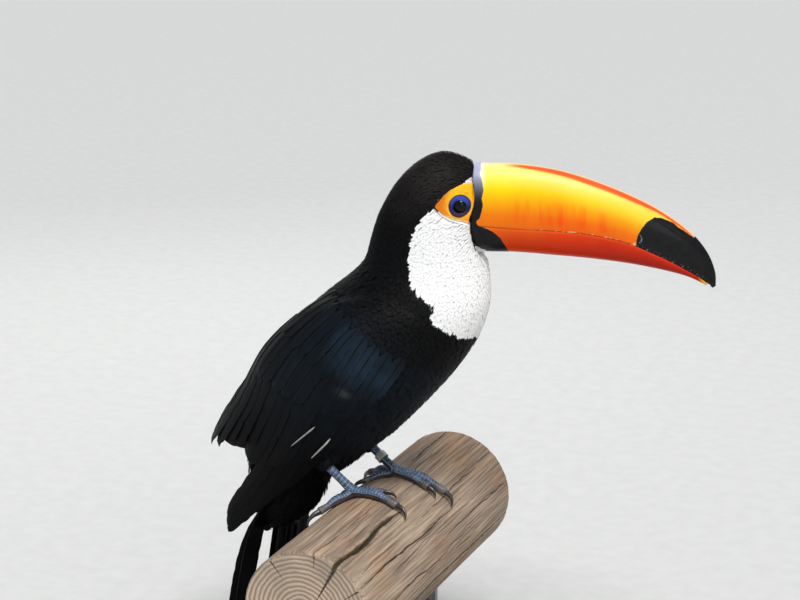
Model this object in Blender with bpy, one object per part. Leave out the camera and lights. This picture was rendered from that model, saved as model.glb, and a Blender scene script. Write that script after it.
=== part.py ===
"""A toco toucan on a short length of round rail, held by a plain display stand.

Metres, +Z up. The trunk faces +X, the bird's left is +Y, and the rail runs along Y.
The origin is the middle of the stand base's underside. The tables of stations are in
millimetres, in the plane that halves the bird; that plane turns with the neck.
"""

import math

import bmesh
import bpy
import numpy as np
from mathutils import Vector

MM = 0.001
CUT = 0.0003  # gap between neighbouring pieces

# Stand and perch
BASE_LENGTH, BASE_WIDTH, BASE_HEIGHT = 0.300, 0.250, 0.018
BASE_BEVEL = 0.002
ROD_RADIUS, ROD_SPACING = 0.007, 0.180
PERCH_RADIUS, PERCH_LENGTH, PERCH_AXIS_HEIGHT = 0.049, 0.290, 0.130
PERCH_CHAMFER = 0.002

# Body: where each ring of the trunk, neck and head meets the back and the front of the bird
NECK_PIVOT = 20.0  # X of the upright line about which the neck turns to the left
BODY = (
    # back x, z   front x, z   half width   turn   wing's depth at the back and the side
    (65.9, 427.8, 65.9, 362.5, 20.3, 16.0, 0.0, 0.0),  # 0 root of the bill
    (57.0, 433.0, 70.0, 360.6, 23.0, 16.0, 0.0, 0.0),  # 1 forehead
    (41.0, 436.0, 74.0, 358.6, 25.5, 16.0, 0.0, 0.0),  # 2 crown
    (22.5, 427.0, 75.8, 356.2, 27.5, 15.5, 0.0, 0.0),  # 3 hind crown
    (7.0, 410.0, 76.8, 353.2, 29.5, 14.0, 0.0, 0.0),  # 4 nape
    (-4.0, 389.5, 77.6, 349.6, 31.5, 12.0, 0.0, 0.0),  # 5 upper neck
    (-10.0, 370.0, 78.4, 345.0, 33.5, 9.5, 0.0, 0.0),  # 6 neck
    (-14.5, 355.0, 79.2, 338.5, 37.0, 6.5, 0.0, 0.0),  # 7 foot of the neck
    (-27.0, 342.0, 79.6, 329.5, 42.5, 3.5, 0.0, 2.5),  # 8 mantle
    (-47.0, 326.0, 77.0, 316.0, 48.5, 1.0, 1.5, 4.5),  # 9 shoulders
    (-66.0, 308.0, 70.5, 299.5, 52.0, 0.0, 3.0, 6.0),  # 10 chest
    (-83.0, 289.0, 58.5, 280.5, 53.0, 0.0, 5.0, 6.5),  # 11 breast
    (-95.0, 270.0, 43.0, 261.0, 51.0, 0.0, 6.0, 6.5),  # 12 belly
    (-103.0, 250.0, 25.0, 241.0, 47.0, 0.0, 9.0, 6.5),  # 13 flank
    (-108.0, 228.0, 5.0, 220.5, 42.0, 0.0, 19.0, 6.5),  # 14 rump
    (-110.0, 207.0, -16.0, 204.0, 36.0, 0.0, 29.0, 7.0),  # 15 vent
    (-111.0, 187.0, -38.0, 187.5, 29.0, 0.0, 18.0, 8.0),  # 16 tail coverts
    (-111.5, 168.0, -62.0, 170.0, 23.0, 0.0, 12.0, 9.0),  # 17 under the wing tips
    (-118.0, 147.0, -84.0, 151.0, 18.0, 0.0, 7.0, 9.0),  # 18
    (-126.0, 127.0, -100.0, 130.0, 14.0, 0.0, 4.0, 9.0),  # 19
)
HEAD_END, NECK_END, TRUNK_END = 4.5, 7.0, 16.4
BODY_SIDES = 30
BODY_STEP = 0.5

# Tail: a fan that opens and twists towards its tip, with a slit between its two bunches of feathers
TAIL = (
    # middle x, y, z      half width, half depth   twist
    (-79.0, 0.0, 178.6, 26.0, 31.0, 0.0),
    (-81.0, 0.0, 162.0, 20.5, 27.0, 0.0),
    (-87.0, 1.0, 146.0, 16.5, 18.5, 5.0),
    (-96.5, 6.5, 130.0, 32.0, 7.5, 14.0),
    (-101.5, 8.0, 115.0, 38.0, 4.0, 16.0),
    (-105.5, 8.0, 94.0, 39.0, 3.0, 16.0),
    (-109.0, 8.0, 72.0, 37.5, 2.2, 16.0),
    (-111.0, 8.0, 59.0, 30.0, 1.8, 16.0),
    (-112.0, 8.0, 53.0, 18.0, 1.2, 16.0),
)
TAIL_SIDES = 20
TAIL_STEP = 0.5
SLIT_TOP, SLIT_SHOULDER, SLIT_FOOT = 141.0, 124.0, 45.0
SLIT_MIDDLE, SLIT_HALF_WIDTH = -2.0, 6.0

# Wings: their outline as angles round the body, from the middle of the back
WING_START, WING_END, WING_ROWS, WING_COLUMNS = 8.2, 19.4, 28, 8
WING_UPPER_EDGE = ((8.2, 66), (9.0, 40), (10.0, 14), (11.0, 2), (15.26, 2), (15.66, 64), (16.5, 64),
                   (17.4, 40), (18.2, 42), (18.8, 50), (19.4, 60))
WING_LOWER_EDGE = ((8.2, 80), (8.7, 106), (9.5, 118), (11.5, 123), (13.6, 119), (15.1, 112), (17.7, 110),
                   (18.5, 95), (19.4, 68))
WING_SLANT = 0.7  # rows by which the feathers of the side end higher than those of the back
WING_CLEARANCE, WING_EDGE, WING_THICKNESS = 1.0, 0.8, 6.0

# Bill: rings from the ridge of the upper half to the keel of the lower half, in mm
BILL = (
    # ridge x, z    keel x, z   share of the lower half   half width
    (66.2, 427.2, 66.2, 364.0, 0.33, 19.4),
    (98.0, 427.2, 97.0, 363.4, 0.306, 18.4),
    (126.4, 423.4, 122.5, 361.8, 0.325, 17.0),
    (155.0, 415.0, 147.5, 360.0, 0.35, 15.3),
    (182.6, 403.9, 172.0, 357.4, 0.345, 13.2),
    (203.0, 393.0, 190.0, 354.6, 0.298, 11.2),
    (220.5, 380.0, 206.0, 351.4, 0.245, 8.8),
    (232.4, 365.8, 219.0, 347.9, 0.195, 6.0),
    (238.3, 352.0, 229.5, 343.2, 0.2, 3.4),
    (239.2, 341.5, 236.0, 339.6, 0.22, 1.3),
)
BILL_TURN = 16.0
BILL_STEP = 0.5
LOWER_BILL_END = 8.3

# Eyes
EYE_RADIUS = 7.0
EYE_PLACE = (56.8, 400.6)  # x and z in the turned plane
EYE_SETTING = 19.6  # from the turned plane to the middle of the ball

# Legs and feet: angle round the perch from its top, and place along it
TARSUS_RADIUS = 0.0032
RIGHT_FOOT = {
    "joint": (-17, -0.026),
    "tarsus_top": (-0.0335, -0.0290, 0.1985),
    "toes": {
        "outer_front": (25, -0.033, 38, -0.0385, 0.0034),
        "inner_front": (7, -0.0205, 19, -0.0190, 0.0031),
        "outer_back": (-40, -0.047, -52, -0.0560, 0.0032),
        "inner_back": (-38, -0.016, -49, -0.0140, 0.0028),
    },
}
LEFT_FOOT = {
    "joint": (-3, 0.0235),
    "tarsus_top": (-0.0225, 0.0300, 0.1965),
    "toes": {
        "outer_front": (42, 0.0310, 56, 0.0285, 0.0034),
        "inner_front": (30, 0.0195, 41, 0.0170, 0.0031),
        "outer_back": (-34, 0.0390, -46, 0.0450, 0.0032),
        "inner_back": (-25, 0.0100, -36, 0.0060, 0.0028),
    },
}
TOE_SIDES, TOE_RINGS = 8, 6
CLAW_BEND, CLAW_RISE = 0.62, 0.16  # where a claw's curve turns down, as shares of its reach
JOINT_LIFT = 0.0052
THIGH_LENGTH = 0.032
THIGH_RADII = (0.008, 0.0095, 0.0080, 0.0070, 0.0060)
RING_RADIUS, RING_WALL, RING_HEIGHT = 0.0046, 0.0008, 0.0055
RING_ALONG_TARSUS = 0.62
RING_SIDES = 18


def clear_scene():
    for obj in list(bpy.data.objects):
        bpy.data.objects.remove(obj, do_unlink=True)


def finish_of(name, colour, roughness, metallic=0.0):
    material = bpy.data.materials.new(name)
    material.use_nodes = True
    shader = material.node_tree.nodes["Principled BSDF"]
    shader.inputs["Base Color"].default_value = (*colour, 1.0)
    shader.inputs["Roughness"].default_value = roughness
    shader.inputs["Metallic"].default_value = metallic
    return material


def add_object(name, points, faces, material):
    mesh = bpy.data.meshes.new(name)
    mesh.from_pydata([tuple(p) for p in points], [], faces)
    shell = bmesh.new()
    shell.from_mesh(mesh)
    bmesh.ops.recalc_face_normals(shell, faces=shell.faces)
    if shell.calc_volume(signed=True) < 0:
        bmesh.ops.reverse_faces(shell, faces=shell.faces)
    shell.to_mesh(mesh)
    shell.free()
    mesh.shade_smooth()
    mesh.set_sharp_from_angle(angle=math.radians(40))
    mesh.materials.append(material)
    obj = bpy.data.objects.new(name, mesh)
    bpy.context.scene.collection.objects.link(obj)
    return obj


def loft(name, rings, material):
    """A closed solid through rings that have the same number of points."""
    sides = len(rings[0])
    points = [p for ring in rings for p in ring]
    faces = [tuple(range(sides)), tuple(range(len(points) - sides, len(points)))]
    for r in range(len(rings) - 1):
        for k in range(sides):
            j = (k + 1) % sides
            faces.append((r * sides + k, r * sides + j, (r + 1) * sides + j, (r + 1) * sides + k))
    return add_object(name, points, faces, material)


def between(table, place):
    """The row at a place between two of the table's rows, on a smooth curve through all of them."""
    i = min(int(place), len(table) - 2)
    t = place - i
    rows = [np.array(table[min(max(k, 0), len(table) - 1)], float) for k in range(i - 1, i + 3)]
    slope_a, slope_b = (rows[2] - rows[0]) / 2, (rows[3] - rows[1]) / 2
    bend = (2 * t**3 - 3 * t**2 + 1, t**3 - 2 * t**2 + t, 3 * t**2 - 2 * t**3, t**3 - t**2)
    return bend[0] * rows[1] + bend[1] * slope_a + bend[2] * rows[2] + bend[3] * slope_b


def in_world(along, lateral, height, turn):
    """From the bird's own plane, turned about the neck's pivot, to metres in the part's frame."""
    angle = math.radians(turn)
    reach = along - NECK_PIVOT
    x = NECK_PIVOT + reach * math.cos(angle) - lateral * math.sin(angle)
    y = reach * math.sin(angle) + lateral * math.cos(angle)
    return Vector((x, y, height)) * MM


def ring_point(row, degrees, extra=0.0):
    """The point of a body ring at an angle from the middle of the back; 90 is the bird's left side."""
    back, front = Vector(row[0:2]), Vector(row[2:4])
    middle, forward = (back + front) / 2, (front - back).normalized()
    angle = math.radians(degrees)
    spoke = Vector((-math.cos(angle) * (front - back).length / 2, math.sin(angle) * row[4]))
    spoke += spoke.normalized() * extra
    place = middle + forward * spoke.x
    return in_world(place.x, spoke.y, place.y, row[5])


def ring(row, sides, extra=0.0, shift=0.0):
    """One whole ring, moved along the body by shift (mm, towards the tail)."""
    points = [ring_point(row, 360 * k / sides, extra) for k in range(sides)]
    if shift:
        normal = (points[sides // 4] - points[0]).cross(points[sides // 2] - points[0]).normalized()
        points = [p + normal * shift * MM for p in points]
    return points


def body_piece(name, start, end, material, extra=0.0):
    """A length of the body between two places on the station table, cut square at both ends."""
    steps = max(2, round((end - start) / BODY_STEP))
    places = [start + (end - start) * k / steps for k in range(steps + 1)]
    gap = CUT / MM / 2
    rings = [ring(between(BODY, s), BODY_SIDES, extra) for s in places]
    rings[0] = ring(between(BODY, start), BODY_SIDES, extra, shift=gap if start else 0.0)
    rings[-1] = ring(between(BODY, end), BODY_SIDES, extra, shift=-gap)
    return loft(name, rings, material)


def tail_piece(material):
    rings = []
    for k in range(round((len(TAIL) - 1) / TAIL_STEP) + 1):
        x, y, z, half_width, half_depth, twist = between(TAIL, k * TAIL_STEP)
        turn = math.radians(-twist)
        across = Vector((-math.sin(turn), math.cos(turn), 0))
        forward = Vector((math.cos(turn), math.sin(turn), 0))
        points = []
        for j in range(TAIL_SIDES):
            angle = math.tau * j / TAIL_SIDES
            lateral, depth = half_width * math.cos(angle), half_depth * math.sin(angle)
            points.append((Vector((x, y, z)) + across * lateral + forward * depth) * MM)
        rings.append(points)
    tail = loft("tail", rings, material)
    near, far, half = -160.0, -60.0, SLIT_HALF_WIDTH
    left, right = SLIT_MIDDLE - half, SLIT_MIDDLE + half
    outline = ((SLIT_MIDDLE, SLIT_TOP), (left, SLIT_SHOULDER), (left, SLIT_FOOT),
               (right, SLIT_FOOT), (right, SLIT_SHOULDER))
    wedge = [[Vector((x, y, z)) * MM for y, z in outline] for x in (near, far)]
    boolean(tail, loft("tail_slit", wedge, material), "DIFFERENCE")
    return tail


def wing(name, side, material):
    """A thin shell over the flank. Its inside follows the body; its outside is the folded feathers."""
    outside, inside = [], []
    for r in range(WING_ROWS):
        along = r / (WING_ROWS - 1)
        place = WING_START + (WING_END - WING_START) * along
        slant = WING_SLANT * min(1.0, (place - WING_START) / 3.0)
        upper = np.interp(place, *zip(*WING_UPPER_EDGE))
        lower = np.interp(place, *zip(*WING_LOWER_EDGE))
        for c in range(WING_COLUMNS):
            across = c / (WING_COLUMNS - 1)
            degrees = upper + (lower - upper) * across
            row = between(BODY, place - slant * math.sin(math.radians(min(degrees, 90))))
            share = math.sin(math.radians(min(degrees, 90))) ** 2
            cover = row[6] * (1 - share) + row[7] * share
            cover *= 1 - 0.8 * max(0.0, across - 0.75) / 0.25
            full = min(1.0, 4 * min(across, 1 - across))
            full *= min(1.0, 5 * min(along + 0.02, 1.02 - along))
            thick = WING_EDGE + (WING_THICKNESS - WING_EDGE) * full * min(1.0, cover / 6.0)
            below = max(WING_CLEARANCE, cover - thick)
            inside.append(ring_point(row, side * degrees, below))
            outside.append(ring_point(row, side * degrees, below + thick))
    points = outside + inside
    layer = len(outside)
    grid = [[r * WING_COLUMNS + c for c in range(WING_COLUMNS)] for r in range(WING_ROWS)]
    faces = []
    for r in range(WING_ROWS - 1):
        for c in range(WING_COLUMNS - 1):
            quad = (grid[r][c], grid[r][c + 1], grid[r + 1][c + 1], grid[r + 1][c])
            faces += [quad, tuple(i + layer for i in reversed(quad))]
    rim = grid[0][:-1] + [row[-1] for row in grid[:-1]]
    rim += grid[-1][:0:-1] + [row[0] for row in grid[:0:-1]]
    for a, b in zip(rim, rim[1:] + rim[:1]):
        faces.append((b, a, a + layer, b + layer))
    return add_object(name, points, faces, material)


def bill_half(name, top, material, extra=0.0):
    """One half of the bill. Its rings stand on the line where the halves meet, a hair apart."""
    last = len(BILL) - 1 if top else LOWER_BILL_END
    places = [k * BILL_STEP for k in range(int(last / BILL_STEP) + 1)]
    if places[-1] < last:
        places.append(last)
    rings = []
    for place in places:
        row = between(BILL, place)
        ridge, keel = Vector(row[0:2]), Vector(row[2:4])
        up = (ridge - keel).normalized()
        edge = keel + (ridge - keel) * row[4]
        arch = 11
        points = []
        for k in range(arch + 1):
            angle = math.pi * k / arch
            lateral = row[5] * math.copysign(abs(math.cos(angle)) ** 0.85, math.cos(angle))
            rise = math.sin(angle) ** 0.9
            if top:
                spot = edge + up * (CUT / MM / 2 + rise * ((ridge - edge).length + extra - CUT / MM / 2))
                lateral *= 1 - 0.06 * (1 - rise) + extra / row[5]
            else:
                lateral *= 0.93 - 0.06 * rise + extra / row[5]
                spot = edge - up * (CUT / MM / 2 + rise * ((edge - keel).length + extra - CUT / MM / 2))
            points.append(in_world(spot.x, lateral, spot.y, BILL_TURN))
        rings.append(points)
    return loft(name, rings, material)


def sphere(name, centre, radius, material, segments=14, rows=9):
    ball = bmesh.new()
    bmesh.ops.create_uvsphere(ball, u_segments=segments, v_segments=rows, radius=radius)
    mesh = bpy.data.meshes.new(name)
    ball.to_mesh(mesh)
    ball.free()
    mesh.shade_smooth()
    mesh.materials.append(material)
    obj = bpy.data.objects.new(name, mesh)
    obj.location = centre
    bpy.context.scene.collection.objects.link(obj)
    return obj


def as_cutter(obj):
    obj.hide_render = True
    obj.display_type = "WIRE"
    return obj


def boolean(obj, other, operation):
    step = obj.modifiers.new(other.name, "BOOLEAN")
    step.operation = operation
    step.solver = "EXACT"
    step.object = as_cutter(other)


def circle(sides):
    """The cosine and sine at even steps round a circle."""
    return [(math.cos(math.tau * k / sides), math.sin(math.tau * k / sides)) for k in range(sides)]


def tube(name, path, radii, sides, material):
    """A round solid along a path of points, with a radius at each."""
    rings = []
    for i, point in enumerate(path):
        ahead = (path[min(i + 1, len(path) - 1)] - path[max(i - 1, 0)]).normalized()
        side = ahead.cross(Vector((0.05, 1.0, 0.1))).normalized()
        other = ahead.cross(side)
        rings.append([point + (side * c + other * s) * radii[i] for c, s in circle(sides)])
    return loft(name, rings, material)


def on_perch(degrees, y, lift):
    """A point that stands off the perch, at an angle from its top."""
    angle, reach = math.radians(degrees), PERCH_RADIUS + lift
    return Vector((reach * math.sin(angle), y, PERCH_AXIS_HEIGHT + reach * math.cos(angle)))


def toe_path(foot, toe):
    """Along a toe from the foot's joint to the root of its claw, following the perch."""
    start, y_start = foot["joint"]
    end, y_end, radius = toe[0], toe[1], toe[4]
    path, radii = [], []
    for k in range(TOE_RINGS):
        t = k / (TOE_RINGS - 1)
        swell = 1.0 + 0.10 * math.cos(math.tau * 2.0 * t)
        r = radius * swell * (1.12 - 0.28 * t)
        path.append(on_perch(start + (end - start) * t, y_start + (y_end - y_start) * t, r + CUT))
        radii.append(r)
    return path, radii


def claw(name, path, toe, material):
    """A hooked claw from the end of a toe down to the perch."""
    root, back = path[-1], path[-2]
    radius = 0.66 * toe[4]
    tip = on_perch(toe[2], toe[3], 0.0012)
    ahead = (root - back).normalized()
    reach = (tip - root).length
    start = root + ahead * CUT * 1.7
    outward = (root - Vector((0, root.y, PERCH_AXIS_HEIGHT))).normalized()
    bend = start + ahead * reach * CLAW_BEND + outward * reach * CLAW_RISE
    points, radii, count = [], [], 6
    for k in range(count):
        t = k / (count - 1)
        points.append(start * (1 - t) ** 2 + bend * 2 * t * (1 - t) + tip * t**2)
        radii.append(radius * (1 - t) ** 0.7 + 0.0003)
    return tube(name, points, radii, 7, material)


def tarsus_ends(foot):
    degrees, y = foot["joint"]
    return on_perch(degrees, y, JOINT_LIFT), Vector(foot["tarsus_top"])


def leg(side, foot, skin, horn):
    """The tarsus and four toes as one piece, with a claw on each toe."""
    joint, top = tarsus_ends(foot)
    path = [joint.lerp(top, t) for t in (0.0, 0.2, 0.45, 0.75, 1.0)]
    radii = [TARSUS_RADIUS * f for f in (1.30, 1.12, 1.0, 1.0, 1.06)]
    tarsus = tube(f"leg_{side}", path, radii, 12, skin)
    boolean(tarsus, sphere(f"joint_{side}", joint, 0.0047, skin, 16, 10), "UNION")
    for place, toe in foot["toes"].items():
        path, radii = toe_path(foot, toe)
        boolean(tarsus, tube(f"toe_{side}_{place}", path, radii, TOE_SIDES, skin), "UNION")
        claw(f"claw_{side}_{place}", path, toe, horn)
    return tarsus


def thigh(side, foot, trunk_form, material):
    """The feathered shank: from inside the belly down to where the bare leg begins."""
    joint, top = tarsus_ends(foot)
    ahead = (top - joint).normalized()
    end, knee = top + ahead * CUT, top + ahead * THIGH_LENGTH * 0.35
    hip = top + ahead * THIGH_LENGTH
    knee.y *= 0.80
    hip.y *= 0.3
    path = [hip, knee.lerp(hip, 0.5), knee, end + ahead * THIGH_LENGTH * 0.1, end]
    shank = tube(f"thigh_{side}", path, THIGH_RADII, 14, material)
    boolean(shank, trunk_form, "DIFFERENCE")
    return shank


def leg_ring(foot, material):
    """The band on the left leg: a short open tube."""
    joint, top = tarsus_ends(foot)
    axis = (top - joint).normalized()
    middle = joint.lerp(top, RING_ALONG_TARSUS)
    side = axis.cross(Vector((0, 1, 0))).normalized()
    other = axis.cross(side)
    bore = RING_RADIUS - RING_WALL
    corners = ((bore, -0.5), (RING_RADIUS, -0.5), (RING_RADIUS, 0.5), (bore, 0.5))
    points, faces = [], []
    for k, (c, s) in enumerate(circle(RING_SIDES)):
        spoke = side * c + other * s
        for reach, height in corners:
            points.append(middle + spoke * reach + axis * height * RING_HEIGHT)
        for corner in range(4):
            a, b = k * 4 + corner, k * 4 + (corner + 1) % 4
            far = (k + 1) % RING_SIDES * 4
            faces.append((a, b, far + (corner + 1) % 4, far + corner))
    return add_object("leg_ring", points, faces, material)


def round_bar(name, start, end, radius, sides, chamfer, material):
    """A straight round bar with a small chamfer at each end."""
    ahead = (end - start).normalized()
    path = [start, start + ahead * chamfer, end - ahead * chamfer, end]
    across = Vector((1, 0, 0))
    up = ahead.cross(across)
    rings = []
    for point, reach in zip(path, (radius - chamfer, radius, radius, radius - chamfer)):
        rings.append([point + (across * c + up * s) * reach for c, s in circle(sides)])
    return loft(name, rings, material)


def stand_base(material):
    block = bmesh.new()
    bmesh.ops.create_cube(block, size=1.0)
    bmesh.ops.scale(block, vec=(BASE_LENGTH, BASE_WIDTH, BASE_HEIGHT), verts=block.verts)
    bmesh.ops.translate(block, vec=(0, 0, BASE_HEIGHT / 2), verts=block.verts)
    mesh = bpy.data.meshes.new("stand_base")
    block.to_mesh(mesh)
    block.free()
    mesh.materials.append(material)
    obj = bpy.data.objects.new("stand_base", mesh)
    bpy.context.scene.collection.objects.link(obj)
    edge = obj.modifiers.new("softened edges", "BEVEL")
    edge.width = BASE_BEVEL
    edge.segments = 2
    return obj


def display_stand(metal, painted, wood):
    stand_base(painted)
    half = PERCH_LENGTH / 2
    right_end = Vector((0, -half, PERCH_AXIS_HEIGHT))
    left_end = Vector((0, half, PERCH_AXIS_HEIGHT))
    round_bar("perch", right_end, left_end, PERCH_RADIUS, 40, PERCH_CHAMFER, wood)
    for name, y in (("stand_rod_right", -ROD_SPACING / 2), ("stand_rod_left", ROD_SPACING / 2)):
        foot = Vector((0, y, BASE_HEIGHT + CUT))
        head = Vector((0, y, PERCH_AXIS_HEIGHT - PERCH_RADIUS - CUT))
        round_bar(name, foot, head, ROD_RADIUS, 16, 0.0005, metal)


def eyes(head, material):
    for name, side in (("eye_left", 1), ("eye_right", -1)):
        centre = in_world(EYE_PLACE[0], side * EYE_SETTING, EYE_PLACE[1], BILL_TURN)
        sphere(name, centre, EYE_RADIUS * MM, material)
        socket = sphere(f"socket_{name}", centre, EYE_RADIUS * MM + CUT, material)
        boolean(head, socket, "DIFFERENCE")


def build():
    clear_scene()
    black = finish_of("black_feather", (0.008, 0.008, 0.010), 0.55)
    horn = finish_of("bill_orange", (0.90, 0.30, 0.01), 0.30)
    dark_horn = finish_of("claw_horn", (0.02, 0.02, 0.025), 0.35)
    blue_skin = finish_of("leg_skin", (0.06, 0.14, 0.32), 0.45)
    eye_black = finish_of("eye", (0.01, 0.01, 0.015), 0.05)
    band = finish_of("band_metal", (0.60, 0.62, 0.60), 0.35, 1.0)
    wood = finish_of("weathered_wood", (0.42, 0.32, 0.24), 0.80)
    painted = finish_of("stand_paint", (0.02, 0.02, 0.022), 0.45)
    metal = finish_of("stand_rod_metal", (0.10, 0.10, 0.11), 0.35, 1.0)

    head = body_piece("head", 0.0, HEAD_END, black)
    body_piece("neck", HEAD_END, NECK_END, black)
    body_piece("trunk", NECK_END, TRUNK_END, black)
    tail_piece(black)
    wing("wing_left", 1, black)
    wing("wing_right", -1, black)
    eyes(head, eye_black)
    bill_half("bill_upper", True, horn)
    bill_half("bill_lower", False, horn)
    boolean(head, bill_half("chin_form", False, horn, extra=1.5 * CUT / MM), "DIFFERENCE")
    boolean(head, bill_half("cheek_form", True, horn, extra=1.5 * CUT / MM), "DIFFERENCE")

    trunk_form = body_piece("trunk_form", NECK_END, TRUNK_END, black, extra=CUT / MM * 1.5)
    for side, foot in (("right", RIGHT_FOOT), ("left", LEFT_FOOT)):
        leg(side, foot, blue_skin, dark_horn)
        thigh(side, foot, trunk_form, black)
    leg_ring(LEFT_FOOT, band)
    display_stand(metal, painted, wood)


build()
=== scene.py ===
"""Looks of a toco toucan museum model: a still bird on a cut length of weathered rail, on a plain stand.

Metres, +Z up. The bird faces +X and its left is +Y. Sections follow the model as it is put together:
studio, stand, rail, body form and skin, coat, wings, tail, face, bill, legs and feet, leg ring.
"""

import math

import bmesh
import bpy
import numpy as np
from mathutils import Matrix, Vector
from mathutils.bvhtree import BVHTree


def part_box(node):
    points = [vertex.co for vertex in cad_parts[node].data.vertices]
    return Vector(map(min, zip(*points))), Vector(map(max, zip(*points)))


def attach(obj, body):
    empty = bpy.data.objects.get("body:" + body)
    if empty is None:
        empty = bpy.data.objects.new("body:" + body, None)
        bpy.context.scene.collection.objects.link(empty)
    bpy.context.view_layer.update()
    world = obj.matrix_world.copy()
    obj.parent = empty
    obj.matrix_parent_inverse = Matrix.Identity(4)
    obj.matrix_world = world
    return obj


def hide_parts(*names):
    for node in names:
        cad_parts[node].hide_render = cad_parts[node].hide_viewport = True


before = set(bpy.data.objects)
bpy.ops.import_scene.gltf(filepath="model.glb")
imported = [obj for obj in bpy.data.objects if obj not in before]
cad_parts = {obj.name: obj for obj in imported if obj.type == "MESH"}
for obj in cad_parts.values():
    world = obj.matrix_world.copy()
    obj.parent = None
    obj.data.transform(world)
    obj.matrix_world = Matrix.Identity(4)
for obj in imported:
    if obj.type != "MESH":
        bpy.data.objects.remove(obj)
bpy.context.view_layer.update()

# ------------------------------------------------------------------------------------------------
# Studio: a pale seamless floor, one broad light overhead, two soft boxes and an even pale surround.
# The camera stands higher than the bird, ahead of it and to its right, a metre and a half away.
# ------------------------------------------------------------------------------------------------
CAMERA_PLACE, CAMERA_TILT, CAMERA_TURN = (0.5598, -1.3577, 0.7001), 75.6, 22.0
CAMERA_LENS, CAMERA_SENSOR = 93.15, 36.0
FLOOR_SIZE = 40.0
ROOF_LIGHT = (0.55, -0.75, 1.60), 24.0, 2.65  # from, width in degrees, strength
SURROUND_COLOUR, SURROUND_STRENGTH = (0.92, 0.96, 1.0, 1.0), 0.42
SOFT_BOXES = (
    # name, place, aim, width, watts
    ("front", (1.10, -1.20, 0.90), (0.03, 0.0, 0.32), 0.8, 4.0),
    ("rim", (-0.80, 1.10, 1.10), (0.0, 0.0, 0.28), 0.9, 4.0),
)

scene = bpy.context.scene
scene.view_settings.view_transform = "Standard"


def add_object(name, data):
    made = bpy.data.objects.new(name, data)
    scene.collection.objects.link(made)
    return made


def hang_lamp(light, place, aim):
    """Hangs a light at a place and turns it to its aim."""
    lamp = add_object(light.name, light)
    lamp.location = place
    lamp.rotation_euler = (Vector(aim) - Vector(place)).to_track_quat("-Z", "Y").to_euler()


lens = bpy.data.cameras.new("camera")
lens.lens, lens.sensor_width = CAMERA_LENS, CAMERA_SENSOR
camera = add_object("camera", lens)
camera.location = CAMERA_PLACE
camera.rotation_euler = (math.radians(CAMERA_TILT), 0.0, math.radians(CAMERA_TURN))
scene.camera = camera

place, width, strength = ROOF_LIGHT
panel = bpy.data.lights.new("roof light", "SUN")
panel.energy, panel.angle = strength, math.radians(width)
hang_lamp(panel, place, (0, 0, 0))
for name, place, aim, width, watts in SOFT_BOXES:
    box = bpy.data.lights.new(name, "AREA")
    box.shape, box.size, box.energy = "SQUARE", width, watts
    hang_lamp(box, place, aim)

surround = bpy.data.worlds.new("surround")
surround.use_nodes = True
background = surround.node_tree.nodes["Background"].inputs
background["Color"].default_value = SURROUND_COLOUR
background["Strength"].default_value = SURROUND_STRENGTH
scene.world = surround


def new_material(name, **constants):
    """A material, its nodes, and its one shader with the values that are the same all over it."""
    material = bpy.data.materials.new(name)
    material.use_nodes = True
    shader = material.node_tree.nodes["Principled BSDF"]
    for socket, value in constants.items():
        shader.inputs[socket.replace("_", " ")].default_value = value
    return material, material.node_tree, shader


def node(tree, kind, inputs=None, **settings):
    """Adds a shader node; each input takes a value or another node's output."""
    made = tree.nodes.new(kind)
    for name, value in settings.items():
        setattr(made, name, value)
    for key, value in (inputs or {}).items():
        if isinstance(value, bpy.types.NodeSocket):
            tree.links.new(value, made.inputs[key])
        else:
            made.inputs[key].default_value = value
    return made


def object_coordinates(tree):
    return node(tree, "ShaderNodeTexCoord").outputs["Object"]


mottling = bpy.data.node_groups.new("mottle", "ShaderNodeTree")
for name, kind, way in (
    ("Coordinates", "NodeSocketVector", "INPUT"),
    ("Stretch", "NodeSocketVector", "INPUT"),
    ("Scale", "NodeSocketFloat", "INPUT"),
    ("Detail", "NodeSocketFloat", "INPUT"),
    ("Mottle", "NodeSocketFloat", "OUTPUT"),
):
    mottling.interface.new_socket(name, in_out=way, socket_type=kind)
given, result = node(mottling, "NodeGroupInput").outputs, node(mottling, "NodeGroupOutput").inputs
placed = node(mottling, "ShaderNodeMapping", {"Vector": given["Coordinates"], "Scale": given["Stretch"]})
grain = {"Vector": placed.outputs[0], "Scale": given["Scale"], "Detail": given["Detail"]}
noise = node(mottling, "ShaderNodeTexNoise", grain)
mottling.links.new(noise.outputs["Fac"], result["Mottle"])


def mottle(tree, scale, detail=4.0, stretch=(1, 1, 1)):
    """Places the mottle in a material, stretched along the piece's axes, and returns its value."""
    values = {"Coordinates": object_coordinates(tree), "Stretch": stretch, "Scale": scale, "Detail": detail}
    return node(tree, "ShaderNodeGroup", values, node_tree=mottling).outputs["Mottle"]


def ramp(tree, factor, *stops):
    """A colour ramp with stops of (place, (r, g, b)) or (place, grey)."""
    made = node(tree, "ShaderNodeValToRGB", {"Fac": factor})
    points = made.color_ramp.elements
    while len(points) < len(stops):
        points.new(0.5)
    for point, (place, colour) in zip(points, stops):
        point.position = place
        point.color = (*colour, 1.0) if isinstance(colour, tuple) else (colour, colour, colour, 1.0)
    return made.outputs["Color"]


def blend(tree, factor, a, b, mode="MIX"):
    """Two colours mixed by a factor; each is a socket or (r, g, b)."""
    made = node(tree, "ShaderNodeMix", data_type="RGBA", blend_type=mode)
    for socket, value in (("Factor_Float", factor), ("A_Color", a), ("B_Color", b)):
        target = next(s for s in made.inputs if s.identifier == socket)
        if isinstance(value, bpy.types.NodeSocket):
            tree.links.new(value, target)
        else:
            target.default_value = (*value, 1.0) if isinstance(value, tuple) else value
    return next(s for s in made.outputs if s.identifier == "Result_Color")


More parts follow.
